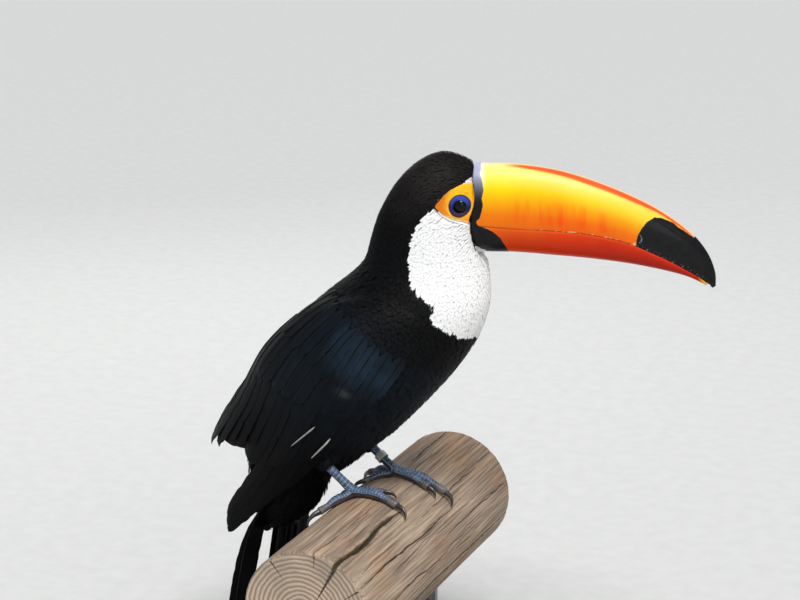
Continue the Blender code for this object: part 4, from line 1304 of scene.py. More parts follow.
for name, side in (("left", 1), ("right", -1)):
    angles = np.linspace(-math.pi, math.pi, FACE_AROUND, endpoint=False)
    edge = look_up(FACE_EDGE, np.degrees(angles)) + 0.7
    for _ in range(6):
        base = look_up(BAND_REAR, EYE_Z + edge * np.sin(angles)) + 0.5 - EYE_X
        ahead = np.where(np.cos(angles) > 0.2, base / np.maximum(np.cos(angles), 0.2), 99.0)
        edge = np.maximum(np.minimum(edge, ahead), EYE_RING + 0.9)
    ring = np.linspace(EYE_OPENING, EYE_RING, RING_STEPS)
    outer = np.linspace(0, 1, FACE_STEPS)[1:]
    radius = [np.repeat(ring[:, None], FACE_AROUND, 1), EYE_RING + outer[:, None] * (edge - EYE_RING)]
    radius = np.concatenate(radius)
    turn = np.repeat(angles[None, :], len(radius), 0)
    forward, up = EYE_X + radius * np.cos(turn), EYE_Z + radius * np.sin(turn)
    lateral, fit = smooth_lateral(side, forward, up, radius)
    share = np.clip((radius - EYE_OPENING) / (EYE_RING - EYE_OPENING), 0, 1)
    forward, up = forward - OPENING_BACK * (1 - share), up - OPENING_DOWN * (1 - share)
    off_centre = np.hypot(forward - EYE_X, up - EYE_Z)
    ball = EYE_SETTING + np.sqrt(np.maximum(EYE_RADIUS**2 - off_centre**2, 1.0)) + 0.10
    roll = 1.35 * np.sin(math.pi * np.clip(share, 0, 1) ** 0.8) ** 0.8 * (radius <= EYE_RING)
    folds = 0.055 * np.sin(share * 26 + 1.2 * np.sin(3 * turn)) * (share > 0.06) * (share < 0.97)
    lid = soft_step(-share, -0.34, 0.0)
    skin_lateral = lateral + roll * (1 - 0.25 * np.sin(turn)) + folds
    skin_lateral = skin_lateral - 0.30 * np.exp(-(((radius - EYE_RING) / 0.35) ** 2))
    skin_lateral = skin_lateral * (1 - lid) + np.maximum(ball, skin_lateral * lid + ball * (1 - lid)) * lid
    creases = 0.10 * np.sin(radius * 5.2 + 1.5 * np.sin(2 * turn + 1.0)) * soft_step(radius, 8.6, 9.6)
    creases += 0.06 * np.sin(turn * 31 + 2.0 * np.sin(radius)) * soft_step(radius, 8.6, 10.0)
    feathered = look_up(FACE_EDGE, np.degrees(turn)) - radius
    skin_lateral += creases - 0.15 - 0.8 * soft_step(-feathered, 0.0, 0.7) * (np.cos(turn) < 0.5)
    cover = EYE_SETTING + np.sqrt(np.maximum(EYE_RADIUS**2 - off_centre**2, 0)) + 0.42
    skin_lateral = np.where(off_centre < 6.9, np.maximum(skin_lateral, cover), skin_lateral)
    points = from_head_plane(forward * MM, side * skin_lateral * MM, up * MM).reshape(-1, 3)
    faces = grid_faces(len(radius), FACE_AROUND, True)
    patch = build_mesh(f"face_{name}", points, faces if side < 0 else faces[:, ::-1], face_skin)
    height, rear = np.sin(turn), soft_step(-np.cos(turn), 0.2, 0.95)
    orange = lay_over(np.array(SKIN_MIDDLE), SKIN_TOP, soft_step(height, -0.1, 0.9))
    orange = lay_over(orange, SKIN_REAR, rear * soft_step(radius, 9.0, 13.0) * 0.8)
    rim = np.exp(-(((radius - EYE_RING - 0.9) / 0.7) ** 2)) * soft_step(-height, -0.6, 0.3)
    orange = lay_over(orange, SKIN_RIM, 0.7 * rim)
    orange = lay_over(orange, SKIN_FADE, soft_step(-feathered, -1.6, 0.4) * soft_step(-height, 0.25, 0.75))
    blue = lay_over(np.array(RING_SIDE), RING_TOP, soft_step(height, -0.25, 0.75))
    blue = lay_over(blue, RING_FOOT, soft_step(-height, 0.25, 0.9))
    # Painted shade in the creases: the ring turns near-black where it meets the eye and where it folds into
    # the face.
    edges = np.maximum(soft_step(share, 0.80, 0.97), soft_step(-share, -0.16, -0.03))
    blue = lay_over(blue, RING_CREASE_SHADE, edges)
    colours = np.where((radius <= EYE_RING + 0.12)[..., None], blue, orange)
    colours = lay_over(colours, BLACK, soft_step(forward - look_up(BAND_REAR, up), -0.4, 0.3))
    set_colours(patch, colours.reshape(-1, 3))
    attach(patch, "root")

    random = np.random.default_rng(41 + side)
    turns = []
    for k in range(len(angles)):
        reach = look_up(FACE_EDGE, np.degrees(angles[k]))
        steps = max(1, int(reach * math.tau / FACE_AROUND / RIM_SPACING + 0.5))
        turns += [angles[k] + j / steps * math.tau / FACE_AROUND for j in range(steps)]
    turns = np.array(turns)
    reach = look_up(FACE_EDGE, np.degrees(turns)) + random.uniform(0.25, 0.50, len(turns))
    forward, up = EYE_X + reach * np.cos(turns), EYE_Z + reach * np.sin(turns)
    clear = forward < look_up(BAND_REAR, up) - 0.2
    turns, reach, forward, up = turns[clear], reach[clear], forward[clear], up[clear]
    roots = from_head_plane(forward * MM, side * form_lateral(side, forward, up) * MM, up * MM)
    sense = np.where(turns > 0, 1.0, -1.0)
    outward = np.where(turns > 0, 0.12, 0.8)
    heading_forward = -np.sin(turns) * sense + outward * np.cos(turns)
    heading_up = np.cos(turns) * sense + outward * np.sin(turns)
    headings = from_head_plane(heading_forward, 0.0, heading_up) - from_head_plane(0.0, 0.0, 0.0)
    forward, up = EYE_X + (reach + 1.2) * np.cos(turns), EYE_Z + (reach + 1.2) * np.sin(turns)
    colours = plumage(from_head_plane(forward * MM, side * 0.019, up * MM))
    white_part = colours[:, 1] > 0.3
    for tone, here, depth, finish in (
        ("black", ~white_part, 0.0004, black_feather),
        ("white", white_part, 0.0009, white_feather),
    ):
        count = here.sum()
        lengths, widths = random.uniform(1.6, 2.3, count) * MM, random.uniform(0.8, 1.1, count) * MM
        lay_feathers(
            f"coat_rim_{tone}_{name}", roots[here], headings[here], lengths, widths, colours[here],
            feather_shape(42, 8, 0.85, 0.2), np.full(count, depth), np.full(count, 0.0001), 0.04, finish,
        )

    axis_up, axis_ahead = -fit[2] * 0.8, -fit[1] * 0.8
    rows, sides = 72, 96
    tilt = np.linspace(0, math.pi * 0.62, rows)
    spin = np.linspace(0, math.tau, sides, endpoint=False)
    from_pupil = np.repeat((EYE_RADIUS * np.sin(np.minimum(tilt, math.pi / 2)))[:, None], sides, 1)
    reach = EYE_RADIUS + 0.25 * np.clip(1 - (from_pupil / 3.9) ** 2, 0, None)
    outward = unit(np.array([axis_ahead, side * 1.0, axis_up]))
    across = unit(np.cross(outward, (0, 0, 1.0)))
    other = np.cross(outward, across)
    spokes = np.cos(spin)[None, :, None] * across + np.sin(spin)[None, :, None] * other
    ball = reach[..., None] * (np.cos(tilt)[:, None, None] * outward + np.sin(tilt)[:, None, None] * spokes)
    ball += np.array([EYE_X, side * EYE_SETTING, EYE_Z])
    points = from_head_plane(ball[..., 0] * MM, ball[..., 1] * MM, ball[..., 2] * MM).reshape(-1, 3)
    eye = build_mesh(f"eyeball_{name}", points, grid_faces(rows, sides, True)[:, ::-1], eye_finish)
    set_value(eye, "from_pupil", from_pupil.ravel() * MM)
    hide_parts(f"eye_{name}")
    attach(eye, "root")

# ------------------------------------------------------------------------------------------------
# Bill: two hollow horny halves, deeper than the head. A black band runs round the base of the upper
# half and spreads over the base of the lower; the tip of the upper half is black.
# ------------------------------------------------------------------------------------------------
BILL = (
    # ridge x, z    keel x, z   share of the lower half   half width, as in the solids
    (66.2, 427.2, 66.2, 364.0, 0.33, 19.4), (98.0, 427.2, 97.0, 363.4, 0.306, 18.4),
    (126.4, 423.4, 122.5, 361.8, 0.325, 17.0), (155.0, 415.0, 147.5, 360.0, 0.35, 15.3),
    (182.6, 403.9, 172.0, 357.4, 0.345, 13.2), (203.0, 393.0, 190.0, 354.6, 0.298, 11.2),
    (220.5, 380.0, 206.0, 351.4, 0.245, 8.8), (232.4, 365.8, 219.0, 347.9, 0.195, 6.0),
    (238.3, 352.0, 229.5, 343.2, 0.2, 3.4), (239.2, 341.5, 236.0, 339.6, 0.22, 1.3),
)
LOWER_BILL_END = 8.3
BILL_ALONG, UPPER_AROUND, LOWER_AROUND = 260, 112, 80
BAND_FRONT = (
    # height, then mm forward to the front of the black at the bill's base
    (363, 91.5), (367.7, 89.9), (371.5, 88.2), (376, 85.6), (378.5, 83.3), (381.9, 79.0), (383.9, 74.5),
    (385.6, 69.3), (388.5, 68.4), (391, 70.6), (396, 72.4), (401, 72.7), (405, 72.1), (411, 73.0),
    (416, 71.8), (421, 70.3), (428, 70.2),
)
TIP_REAR = (
    # height, then mm forward to the rear edge of the black tip
    (371.2, 181.1), (374.7, 181.4), (380.1, 182.7), (385.3, 185.8), (389.0, 188.6), (391.5, 192.8),
    (397, 200),
)
TIP_MARGIN = (
    # mm forward, then mm of orange left between the black tip and the ridge
    (190, 6.5), (199, 3.6), (204, 2.4), (216, 2.0), (222, 1.2), (226, -3.0),
)
CULMEN_WIDTH = ((80, 5.2), (110, 6.8), (150, 7.4), (180, 6.6), (200, 5.0))  # mm forward, mm half wide
# The scratch is painted in the pale blue-grey of the band's painted reflection, which makes it a painted
# highlight along the scratch.
SCRATCH, SCRATCH_RADIUS = (182.0, 377.0), 3.4  # a curved scratch on the tip: middle and radius in mm
# Painted highlight: by the base and half way along, the row at 0.85 is paled towards cream along the bill's
# upper side.
UPPER_PAINT = (
    # height up the side as a share, and the colour by the base, half way along and by the tip
    (0.00, (0.78, 0.16, 0.003), (0.80, 0.100, 0.002), (0.82, 0.13, 0.003)),
    (0.22, (0.86, 0.22, 0.002), (0.86, 0.150, 0.001), (0.86, 0.20, 0.003)),
    (0.45, (0.90, 0.44, 0.001), (0.90, 0.36, 0.001), (0.90, 0.40, 0.004)),
    (0.65, (0.93, 0.68, 0.003), (0.93, 0.62, 0.003), (0.93, 0.62, 0.020)),
    (0.85, (0.94, 0.84, 0.100), (0.95, 0.80, 0.170), (0.93, 0.66, 0.060)),
    (1.00, (0.94, 0.86, 0.320), (0.93, 0.66, 0.120), (0.92, 0.50, 0.100)),
)
LOWER_PAINT = (
    (0.00, (0.76, 0.13, 0.002), (0.74, 0.060, 0.001), (0.60, 0.025, 0.003)),
    (0.40, (0.70, 0.070, 0.001), (0.66, 0.032, 0.001), (0.50, 0.014, 0.002)),
    (1.00, (0.62, 0.035, 0.001), (0.55, 0.020, 0.001), (0.40, 0.010, 0.002)),
)
CULMEN_RED, CULMEN_PALE, FLAKE_PALE = (0.72, 0.065, 0.014), (0.94, 0.66, 0.40), (0.93, 0.56, 0.24)
# The band's pale blue-grey is a painted reflection of the sky on its top.
LOWER_TIP, PAINTED_REFLECTION_GREY, BASE_WHITE = (0.93, 0.50, 0.03), (0.43, 0.45, 0.62), (0.92, 0.90, 0.72)
HORN_BLACK, HORN_GREY = (0.004, 0.004, 0.0045), (0.009, 0.009, 0.010)
CHIP_PALE = (0.30, 0.27, 0.22)
CHIN_EDGE = (
    # height, then mm forward to the last of the small feathers on the bill's base
    (362, 84.0), (364, 81.0), (366, 75.5), (368.5, 71.0), (371, 67.5), (373, 65.0),
)


def on_curve(table, places):
    """Rows at places between a table's rows, on a smooth curve through all of them."""
    table = np.array(table, float)
    i = np.clip(places.astype(int), 0, len(table) - 2)
    t = (places - i)[:, None]
    before, after = table[np.maximum(i - 1, 0)], table[np.minimum(i + 2, len(table) - 1)]
    slope_a, slope_b = (table[i + 1] - before) / 2, (after - table[i]) / 2
    value = (2 * t**3 - 3 * t**2 + 1) * table[i] + (t**3 - 2 * t**2 + t) * slope_a
    return value + (3 * t**2 - 2 * t**3) * table[i + 1] + (t**3 - t**2) * slope_b


def painted(table, height, along):
    """Colour at a share of the height and a share of the length."""
    levels = [row[0] for row in table]
    base, middle, tip = (
        np.stack([np.interp(height, levels, [row[part][k] for row in table]) for k in range(3)], -1)
        for part in (1, 2, 3)
    )
    first, second = np.clip(along * 2, 0, 1)[..., None], np.clip(along * 2 - 1, 0, 1)[..., None]
    return base + (middle - base) * first + (tip - middle) * second


horn, tree, shader = new_material(
    "bill horn", Specular_IOR_Level=0.12, Coat_Weight=0.10, Coat_Roughness=0.16, Subsurface_Weight=0.06,
    Subsurface_Scale=0.002, Subsurface_Radius=(1.0, 0.4, 0.1),
)
wobble, scuffs = mottle(tree, 260.0), mottle(tree, 900.0)
edge = calc(tree, "MULTIPLY", calc(tree, "SUBTRACT", wobble, 0.5), 1.6)
edge = calc(tree, "ADD", laid(tree, "black", "Fac"), edge)
streaks = mottle(tree, 150.0, 3.0, (1.0, 1.0, 0.10))
streaked = toned(tree, ramp(tree, streaks, (0.36, (1.0, 0.62, 0.55)), (0.56, 1.0)))
coloured = blend(tree, laid(tree, "streaky", "Fac"), laid(tree), streaked)
flakes = share_between(tree, mottle(tree, 420.0, 2.0, (0.5, 1.0, 1.0)), 0.50, 0.56)
coloured = blend(tree, calc(tree, "MULTIPLY", flakes, laid(tree, "worn", "Fac")), coloured, FLAKE_PALE)
clouds = ramp(tree, mottle(tree, 45.0, stretch=(1, 1, 0.5)), (0.3, (0.93, 0.90, 0.88)), (0.7, 1.0))
coloured = blend(tree, 1.0, coloured, clouds, "MULTIPLY")
chips = calc(tree, "MULTIPLY", share_between(tree, scuffs, 0.60, 0.66), laid(tree, "worn", "Fac"))
dark = blend(tree, chips, ramp(tree, wobble, (0.3, HORN_BLACK), (0.7, HORN_GREY)), CHIP_PALE)
# Painted reflection: the black is drawn towards pale blue-grey on the band's top and along the scratch.
dark = blend(tree, laid(tree, "painted_reflection_and_scratch", "Fac"), dark, PAINTED_REFLECTION_GREY)
polish = ramp(tree, scuffs, (0.3, 0.26), (0.7, 0.40))
paint(shader, blend(tree, share_between(tree, edge, -0.22, 0.22), coloured, dark), polish)
growth = mottle(tree, 420.0, 2.0, (1.0, 1.0, 0.06))
bump(tree, shader, calc(tree, "ADD", growth, scuffs), 0.22, 0.00016)

for name, top, last, around in (
    ("upper", True, len(BILL) - 1, UPPER_AROUND),
    ("lower", False, LOWER_BILL_END, LOWER_AROUND),
):
    places = last * np.linspace(0, 1, BILL_ALONG) ** 0.97
    row = on_curve(BILL, places)
    ridge, keel, share, half = row[:, 0:2], row[:, 2:4], row[:, 4:5], row[:, 5:6]
    upward = unit(ridge - keel)
    edge_line = keel + (ridge - keel) * share
    u = np.linspace(0, 1, around)
    angle = math.pi * (u - 0.86 * np.sin(math.tau * u) / math.tau)[None, :]
    rise = np.sin(angle) ** 0.9
    lateral = half * np.sign(np.cos(angle)) * np.abs(np.cos(angle)) ** 0.85
    along = np.cumsum(np.concatenate([[0], np.hypot(*np.diff(edge_line, axis=0).T)]))[:, None]
    if top:
        depth = np.linalg.norm(ridge - edge_line, axis=1, keepdims=True)
        lateral = lateral * (1 - 0.06 * (1 - rise))
        tooth = np.clip(np.sin(along * 1.15 + 1.3 * np.sin(along * 0.31)), 0, 1) ** 2
        tooth = tooth * 0.45 * soft_step(along, 30, 70)
        high = 0.12 + rise * (depth - 0.12) + tooth * np.exp(-rise * depth / 0.8)
    else:
        depth = np.linalg.norm(edge_line - keel, axis=1, keepdims=True)
        lateral = lateral * (0.93 - 0.06 * rise)
        high = -0.12 - rise * (depth - 0.12)
    seam = 0.45 * np.exp(-((np.abs(high) / 0.7) ** 2)) * np.clip(half / 8, 0, 1)
    lateral = lateral - np.sign(lateral) * seam
    plane = edge_line[:, None, :] + upward[:, None, :] * high[..., None]
    forward, up = plane[..., 0], plane[..., 1]
    rear = look_up(BAND_REAR, up)
    forward = forward + (rear - forward[:1]) * np.clip(1 - (forward - forward[:1]) / 4.0, 0, 1)
    black = -(forward - look_up(BAND_FRONT, up))
    swell = 0.40 * soft_step(black, -0.5, 0.9) * np.clip(1.2 - rise * 0.2, 0, 1)
    if not top:
        swell = swell + 0.9 * soft_step(black, 0.0, 9.0) * np.sin(angle)
    crest = np.exp(-(((np.abs(lateral) - 7.4) / 1.1) ** 2)) * (rise > 0.75) * (-0.22 if top else 0.0)
    normal_side = np.sign(lateral) * np.abs(np.cos(angle))
    lateral = lateral + (swell + crest) * normal_side
    forward = forward + (swell * 0.3 + crest) * upward[:, None, 0] * np.sin(angle)
    up = up + (swell * 0.3 + crest) * upward[:, None, 1] * np.sin(angle) * (1 if top else -1)
    height = np.abs(high) / depth
    if top:
        in_tip = forward - look_up(TIP_REAR, up)
        under_margin = (1 - height) * depth - look_up(TIP_MARGIN, forward)
        black = np.maximum(black, np.minimum(in_tip, under_margin))
    colours = painted(UPPER_PAINT if top else LOWER_PAINT, height, np.clip((forward - 70) / 125, 0, 1))
    if top:
        outer, across = look_up(CULMEN_WIDTH, forward) * np.clip(half / 11, 0, 1), np.abs(lateral)
        red = soft_step(forward, 82, 100) * soft_step(-across, -outer - 0.5, -outer + 0.5) * (rise > 0.6)
        colours = lay_over(colours, CULMEN_RED, red * soft_step(across, 1.6, 3.0) * 0.92)
        pale = soft_step(-across, -3.4, -1.8) * soft_step(forward, 90, 110) * (rise > 0.8) * 0.8
        colours = lay_over(colours, CULMEN_PALE, pale)
        chalky = soft_step(-(forward - look_up(BAND_FRONT, up)), -5.0, -0.5) * soft_step(up, 412, 422) * 0.8
        colours = lay_over(colours, BASE_WHITE, chalky)
    else:
        colours = lay_over(colours, LOWER_TIP, soft_step(forward, 226, 231))
    streaky = soft_step(height, 0.04, 0.15) * soft_step(-height, -0.62, -0.30) * (1.0 if top else 0.5)
    streaky = streaky * soft_step(forward, 84, 104) * soft_step(-forward, -182, -150)
    worn = soft_step(-np.abs(high), -3.5, -0.4) * soft_step(forward, 176, 181)
    worn = np.maximum(worn, soft_step(-np.abs(high), -1.5, -0.7) * soft_step(forward, 96, 130))
    worn = worn * (1.0 if top else 0.0)
    # Painted reflection of the sky on the top of the black band. The scratch on the tip is drawn in the same
    # pale colour.
    painted_reflection_and_scratch = soft_step(up, 396, 428) ** 2 * soft_step(-forward, -80, -76)
    if top:
        from_scratch = np.hypot(forward - SCRATCH[0], up - SCRATCH[1])
        scratch = 0.5 * np.exp(-(((from_scratch - SCRATCH_RADIUS) / 0.22) ** 2))
        painted_reflection_and_scratch = np.maximum(painted_reflection_and_scratch, scratch * (forward > 183.5) * (up > 373.5) * (half > 8))
    start = np.stack([forward[:1] - 0.6, lateral[:1] * 0.90, up[:1]], -1)
    points = np.concatenate([start, np.stack([forward, lateral, up], -1)])
    tip = points[-1].mean(0) + (points[-1].mean(0) - points[-4].mean(0)) * 0.3
    points = np.concatenate([points, np.broadcast_to(tip, points[:1].shape)])
    points = from_head_plane(points[..., 0] * MM, points[..., 1] * MM, points[..., 2] * MM)
    rows = len(points)

    def with_ends(values):
        return np.concatenate([values[:1], values, values[-1:]]).reshape(rows * around, *values.shape[2:])

    faces = grid_faces(rows, around, True)
    half_bill = build_mesh(f"bill_{name}_horn", points.reshape(-1, 3), faces if top else faces[:, ::-1], horn)
    set_colours(half_bill, with_ends(colours))
    for mark, values in (("black", black), ("streaky", streaky), ("worn", worn), ("painted_reflection_and_scratch", painted_reflection_and_scratch)):
        set_value(half_bill, mark, with_ends(values))
    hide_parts(f"bill_{name}")
    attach(half_bill, "root")

horn_roots = scatter(half_bill.data, 0.95 * MM, 51)
forward, lateral, up = head_plane(horn_roots)
kept = (forward / MM < look_up(CHIN_EDGE, up / MM)) & (forward > 0.0610)
horn_roots = horn_roots[kept]
joined_points = np.concatenate([read_points(half_bill.data), form_points])
chin_ground = search_tree(joined_points, half_bill.data, form_mesh)
random = np.random.default_rng(52)
heading = from_head_plane(-1.0, 0.0, -0.35) - from_head_plane(0.0, 0.0, 0.0)
headings = heading + random.normal(0, 0.10, horn_roots.shape)
count = len(horn_roots)
lengths, widths = random.uniform(3.6, 5.4, count) * MM, random.uniform(1.4, 1.9, count) * MM
colours = np.array(WHITE) * random.uniform(0.95, 1.04, (count, 1))
lay_feathers(
    "coat_chin", horn_roots, headings, lengths, widths, colours, feather_shape(53, 20),
    np.full(count, -0.0001), np.full(count, 0.0003), 0.03, white_feather, chin_ground,
)

# ------------------------------------------------------------------------------------------------
# Legs and feet: bare bone and sinew under horny skin, with two toes forward and two back round the
# rail. Blue shields cover the front and the tops of the toes; the soles are brown, grained pads.
# ------------------------------------------------------------------------------------------------
RAIL_AXIS_HEIGHT, RAIL_RADIUS = 0.130, 0.049
TARSUS_RADIUS, JOINT_RADIUS, JOINT_LIFT = 0.0032, 0.0047, 0.0052
TARSUS_SIDES, TOE_SIDES, CLAW_SIDES = 32, 24, 24
TARSUS_FORM = ((0.0, 1.30), (0.2, 1.12), (0.45, 1.0), (0.75, 1.0), (1.0, 1.06), (1.12, 1.10))
FEET = (
    # side, joint's degrees round the rail and place along it, top of the bare leg, then each toe:
    # degrees and place of its end, degrees and place of its claw's tip, radius
    ("right", (-17, -0.026), (-0.0335, -0.0290, 0.1985), (
        ("outer_front", 25, -0.033, 38, -0.0385, 0.0034),
        ("inner_front", 7, -0.0205, 19, -0.0190, 0.0031),
        ("outer_back", -40, -0.047, -52, -0.0560, 0.0032),
        ("inner_back", -38, -0.016, -49, -0.0140, 0.0028),
    )),
    ("left", (-3, 0.0235), (-0.0225, 0.0300, 0.1965), (
        ("outer_front", 42, 0.0310, 56, 0.0285, 0.0034),
        ("inner_front", 30, 0.0195, 41, 0.0170, 0.0031),
        ("outer_back", -34, 0.0390, -46, 0.0450, 0.0032),
        ("inner_back", -25, 0.0100, -36, 0.0060, 0.0028),
    )),
)
SHIELD_LENGTH, LEG_GRAIN, GAP = 0.0024, 0.00033, 0.0003
CLAW_BEND, CLAW_RISE = 0.62, 0.16
SHIELD_BLUE, SHIELD_DEEP, SHIELD_EDGE = (0.056, 0.102, 0.190), (0.010, 0.018, 0.045), (0.40, 0.46, 0.50)
SHIELD_RAISED, GROOVE_CUT = 0.00020, 0.00016  # metres
SOLE_BROWN, TOE_END = (0.075, 0.052, 0.045), (0.150, 0.125, 0.115)


def off_rail(degrees, y, lift):
    """A point that stands off the rail, at an angle from its top."""
    angle, reach = np.radians(degrees), RAIL_RADIUS + lift
    place = reach * np.sin(angle), y, RAIL_AXIS_HEIGHT + reach * np.cos(angle)
    return np.stack(np.broadcast_arrays(*place), -1)


def pipe(path, radii, sides, upright=1.0):
    """Points of a round form along a path, each ring squashed across by upright."""
    ahead = unit(np.gradient(path, axis=0))
    side = unit(np.cross(ahead, (0.05, 1.0, 0.1)))
    other = np.cross(ahead, side)
    angle = np.arange(sides) * math.tau / sides
    spokes = side[:, None] * np.cos(angle)[None, :, None]
    spokes = spokes + other[:, None] * (upright * np.sin(angle))[None, :, None]
    return path[:, None] + spokes * radii[:, None, None]


def closed_pipe(path, radii, sides, upright=1.0):
    """The same drawn in to a point at each end, with its faces."""
    body = pipe(path, radii, sides, upright)
    ends = [np.repeat(body[k].mean(0)[None, None], sides, 1) for k in (0, -1)]
    return np.concatenate([ends[0], body, ends[1]]).reshape(-1, 3), grid_faces(len(path) + 2, sides, True)


leg_skin, tree, shader = new_material(
    "horny skin of the legs", Coat_Weight=0.12, Coat_Roughness=0.25,
    Subsurface_Weight=0.05, Subsurface_Scale=0.001,
)
grain = mottle(tree, 900.0)
cells = {"Vector": object_coordinates(tree), "Scale": 1150.0}
scales = node(tree, "ShaderNodeTexVoronoi", cells, feature="DISTANCE_TO_EDGE").outputs["Distance"]
rough_edge = calc(tree, "MULTIPLY", laid(tree, "groove", "Fac"), calc(tree, "MULTIPLY", grain, 1.3))
stained = toned(tree, ramp(tree, mottle(tree, 240.0), (0.34, (0.50, 0.48, 0.46)), (0.62, 1.15)))
pale = share_between(tree, rough_edge, 0.25, 0.62)
paint(shader, blend(tree, pale, stained, SHIELD_EDGE), ramp(tree, grain, (0.3, 0.34), (0.7, 0.56)))
small_scales = calc(tree, "MULTIPLY", calc(tree, "MINIMUM", scales, 0.14), laid(tree, "scaly", "Fac"))
bump(tree, shader, calc(tree, "MULTIPLY_ADD", grain, 0.10, small_scales), 0.7, 0.0007)

claw_horn, tree, shader = new_material("claw", Coat_Weight=0.5, Coat_Roughness=0.12)
grain = mottle(tree, 500.0)
dark = ramp(tree, grain, (0.35, (0.008, 0.007, 0.007)), (0.75, (0.045, 0.036, 0.032)))
paint(shader, dark, ramp(tree, grain, (0.3, 0.24), (0.7, 0.42)))
bump(tree, shader, grain, 0.25, 0.0002)

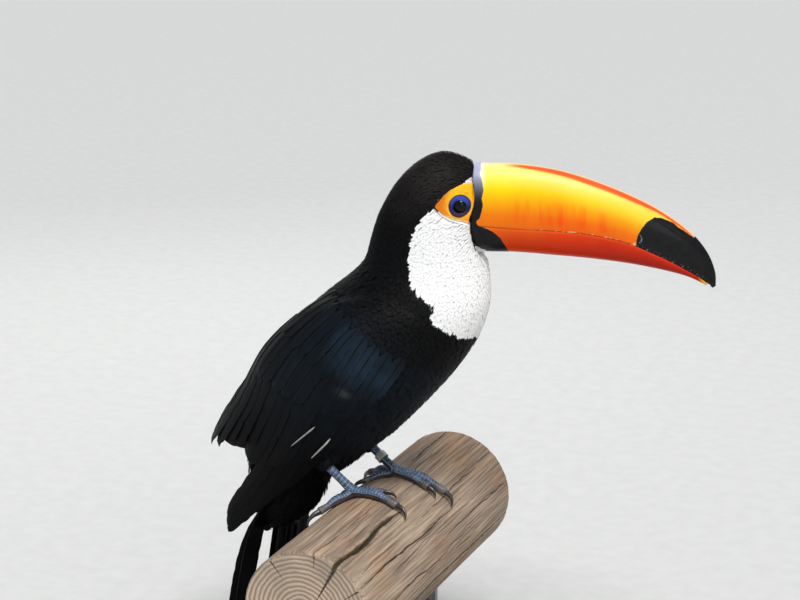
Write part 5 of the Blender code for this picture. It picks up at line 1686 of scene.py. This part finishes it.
for side, (joint_degrees, joint_y), leg_top, toes in FEET:
    joint, leg_top = off_rail(joint_degrees, joint_y, JOINT_LIFT), np.array(leg_top)
    t = np.linspace(0, 1.12, 60)
    tarsus = joint + (leg_top - joint) * t[:, None]
    thick = look_up(TARSUS_FORM, t) * TARSUS_RADIUS
    level = np.linspace(-1, 1, 17)[1:-1]
    knuckle = joint + level[:, None] * np.array((0, 0, JOINT_RADIUS))
    forms = [
        closed_pipe(tarsus, thick, TARSUS_SIDES),
        closed_pipe(knuckle, JOINT_RADIUS * np.sqrt(1 - level**2), TARSUS_SIDES),
    ]
    front = np.repeat(unit(np.array([[1.0, -0.35, 0.0]])), len(t), 0)
    reach_up = t * np.linalg.norm(leg_top - joint) * 0.75
    lines = [(tarsus, unit(np.gradient(tarsus, axis=0)), front, thick, reach_up, np.zeros(len(t)))]
    for number, (toe, end, y_end, tip_degrees, tip_y, radius) in enumerate(toes):
        t = np.linspace(0, 1, 64)
        thick = radius * (1 + 0.10 * np.cos(math.tau * 2 * t)) * (1.12 - 0.28 * t)
        degrees, y = joint_degrees + (end - joint_degrees) * t, joint_y + (y_end - joint_y) * t
        path = off_rail(degrees, y, thick + GAP)
        up = unit(path - np.stack([0 * y, y, np.full(len(t), RAIL_AXIS_HEIGHT)], -1))
        forms.append(closed_pipe(path, thick, TOE_SIDES))
        reach_along = np.concatenate([[0], np.cumsum(np.linalg.norm(np.diff(path, axis=0), axis=1))])
        lines.append((path, unit(np.gradient(path, axis=0)), up, thick, reach_along + 0.0007 * number, t))

        tip = off_rail(tip_degrees, tip_y, 0.0012)
        ahead = unit(path[-1] - path[-4])
        start, reach = path[-1] + ahead * GAP * 1.7, np.linalg.norm(tip - path[-1])
        bend = start + ahead * reach * CLAW_BEND + up[-1] * reach * CLAW_RISE
        t = np.linspace(-0.10, 1, 40)[:, None]
        curve = start * (1 - t) ** 2 + bend * 2 * t * (1 - t) + tip * t**2
        t = t[:, 0]
        girth = 0.66 * radius * (1 - np.clip(t, 0, 1)) ** 0.7 * np.clip(1.0 + t * 2, 0.8, 1) + 0.00016
        points, faces = closed_pipe(curve, girth, CLAW_SIDES, 0.82)
        hook = build_mesh(f"hook_{side}_{toe}", points, faces, claw_horn)
        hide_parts(f"claw_{side}_{toe}")
        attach(hook, "root")

    first = np.cumsum([0] + [len(points) for points, faces in forms[:-1]])
    points, faces = np.concatenate([f[0] for f in forms]), [f[1] + start for f, start in zip(forms, first)]
    mesh = fused(build_mesh("rough leg", points, np.concatenate(faces), leg_skin), LEG_GRAIN, 5)
    points, normals = read_points(mesh), read_points(mesh, "vertex_normals", "vector")
    lines = [np.concatenate(part) for part in zip(*lines)]
    line_points, line_ahead, line_up, line_thick, line_reach, line_share = lines
    nearest, gap = np.zeros(len(points), int), np.full(len(points), np.inf)
    for k in range(len(line_points)):
        away = np.linalg.norm(points - line_points[k], axis=1) - line_thick[k]
        nearest, gap = np.where(away < gap, k, nearest), np.minimum(away, gap)
    offset = points - line_points[nearest]
    on_top = np.sum(unit(offset) * line_up[nearest], -1)
    reach = line_reach[nearest] + np.sum(offset * line_ahead[nearest], -1)
    phase = (reach + 0.00035 * (1 - on_top)) / SHIELD_LENGTH
    within = phase - np.floor(phase)
    top = soft_step(on_top, 0.05, 0.45)
    groove = np.maximum(soft_step(within, 0.84, 0.97), soft_step(-within, -0.06, 0.0)) * top
    side_seam = np.exp(-(((on_top - 0.22) / 0.09) ** 2))
    groove = np.maximum(groove, side_seam * 0.8)
    plate = np.sin(math.pi * within) ** 0.5 * top
    points = points + normals * (SHIELD_RAISED * plate - GROOVE_CUT * groove)[:, None]
    mesh.vertices.foreach_set("co", points.astype(np.float32).ravel())
    mesh.update()
    leg = add_object(f"leg_and_toes_{side}", mesh)
    mesh.shade_smooth()
    along_toe = line_share[nearest]
    tone = lay_over(np.array(SHIELD_DEEP), SHIELD_BLUE, soft_step(on_top, -0.2, 0.6))
    tone = lay_over(tone, SOLE_BROWN, soft_step(-on_top, 0.0, 0.45) * np.where(along_toe > 0, 1.0, 0.35))
    tone = lay_over(tone, TOE_END, soft_step(along_toe, 0.62, 0.95) * 0.85)
    set_colours(leg, tone)
    set_value(leg, "groove", groove * soft_step(-along_toe, -1.0, -0.6))
    set_value(leg, "scaly", 1 - top)
    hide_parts(f"leg_{side}")
    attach(leg, "root")
    if side == "left":
        ringed_leg = joint, unit(leg_top - joint), np.linalg.norm(leg_top - joint)

# ------------------------------------------------------------------------------------------------
# Leg ring: a plain closed aluminium band, loose round the left leg. It carries no marks.
# ------------------------------------------------------------------------------------------------
RING_RADIUS, RING_WALL, RING_HEIGHT, RING_BEVEL = 0.0046, 0.0008, 0.0055, 0.0002
RING_ALONG, RING_SIDES = 0.62, 96

ring_metal, tree, shader = new_material("dull aluminium", Metallic=0.6)
scratches = mottle(tree, 900.0, stretch=(1, 1, 8))
dull = ramp(tree, scratches, (0.3, (0.56, 0.56, 0.55)), (0.7, (0.80, 0.80, 0.79)))
paint(shader, dull, ramp(tree, scratches, (0.3, 0.28), (0.7, 0.50)))
bump(tree, shader, scratches, 0.2, 0.00012)
joint, axis, length = ringed_leg
bore, half, bevel = RING_RADIUS - RING_WALL, RING_HEIGHT / 2, RING_BEVEL
profile = (
    # radius and height from the ring's middle
    (bore, bevel - half), (bore + bevel, -half), (RING_RADIUS - bevel, -half), (RING_RADIUS, bevel - half),
    (RING_RADIUS, half - bevel), (RING_RADIUS - bevel, half), (bore + bevel, half), (bore, half - bevel),
    (bore, bevel - half),
)
middle = joint + axis * length * RING_ALONG
path = np.stack([middle + axis * height for radius, height in profile])
side = unit(np.cross(axis, (0, 1.0, 0)))
other, angle = np.cross(axis, side), np.arange(RING_SIDES) * math.tau / RING_SIDES
spokes = side * np.cos(angle)[:, None] + other * np.sin(angle)[:, None]
radii = np.array([radius for radius, height in profile])
points = path[:, None] + spokes[None] * radii[:, None, None]
band = build_mesh("leg_band", points.reshape(-1, 3), grid_faces(len(profile), RING_SIDES, True), ring_metal)
band.data.set_sharp_from_angle(angle=math.radians(30))
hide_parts("leg_ring")
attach(band, "root")

# ------------------------------------------------------------------------------------------------
# Last, the scene is brought up to date.
# ------------------------------------------------------------------------------------------------
bpy.context.view_layer.update()
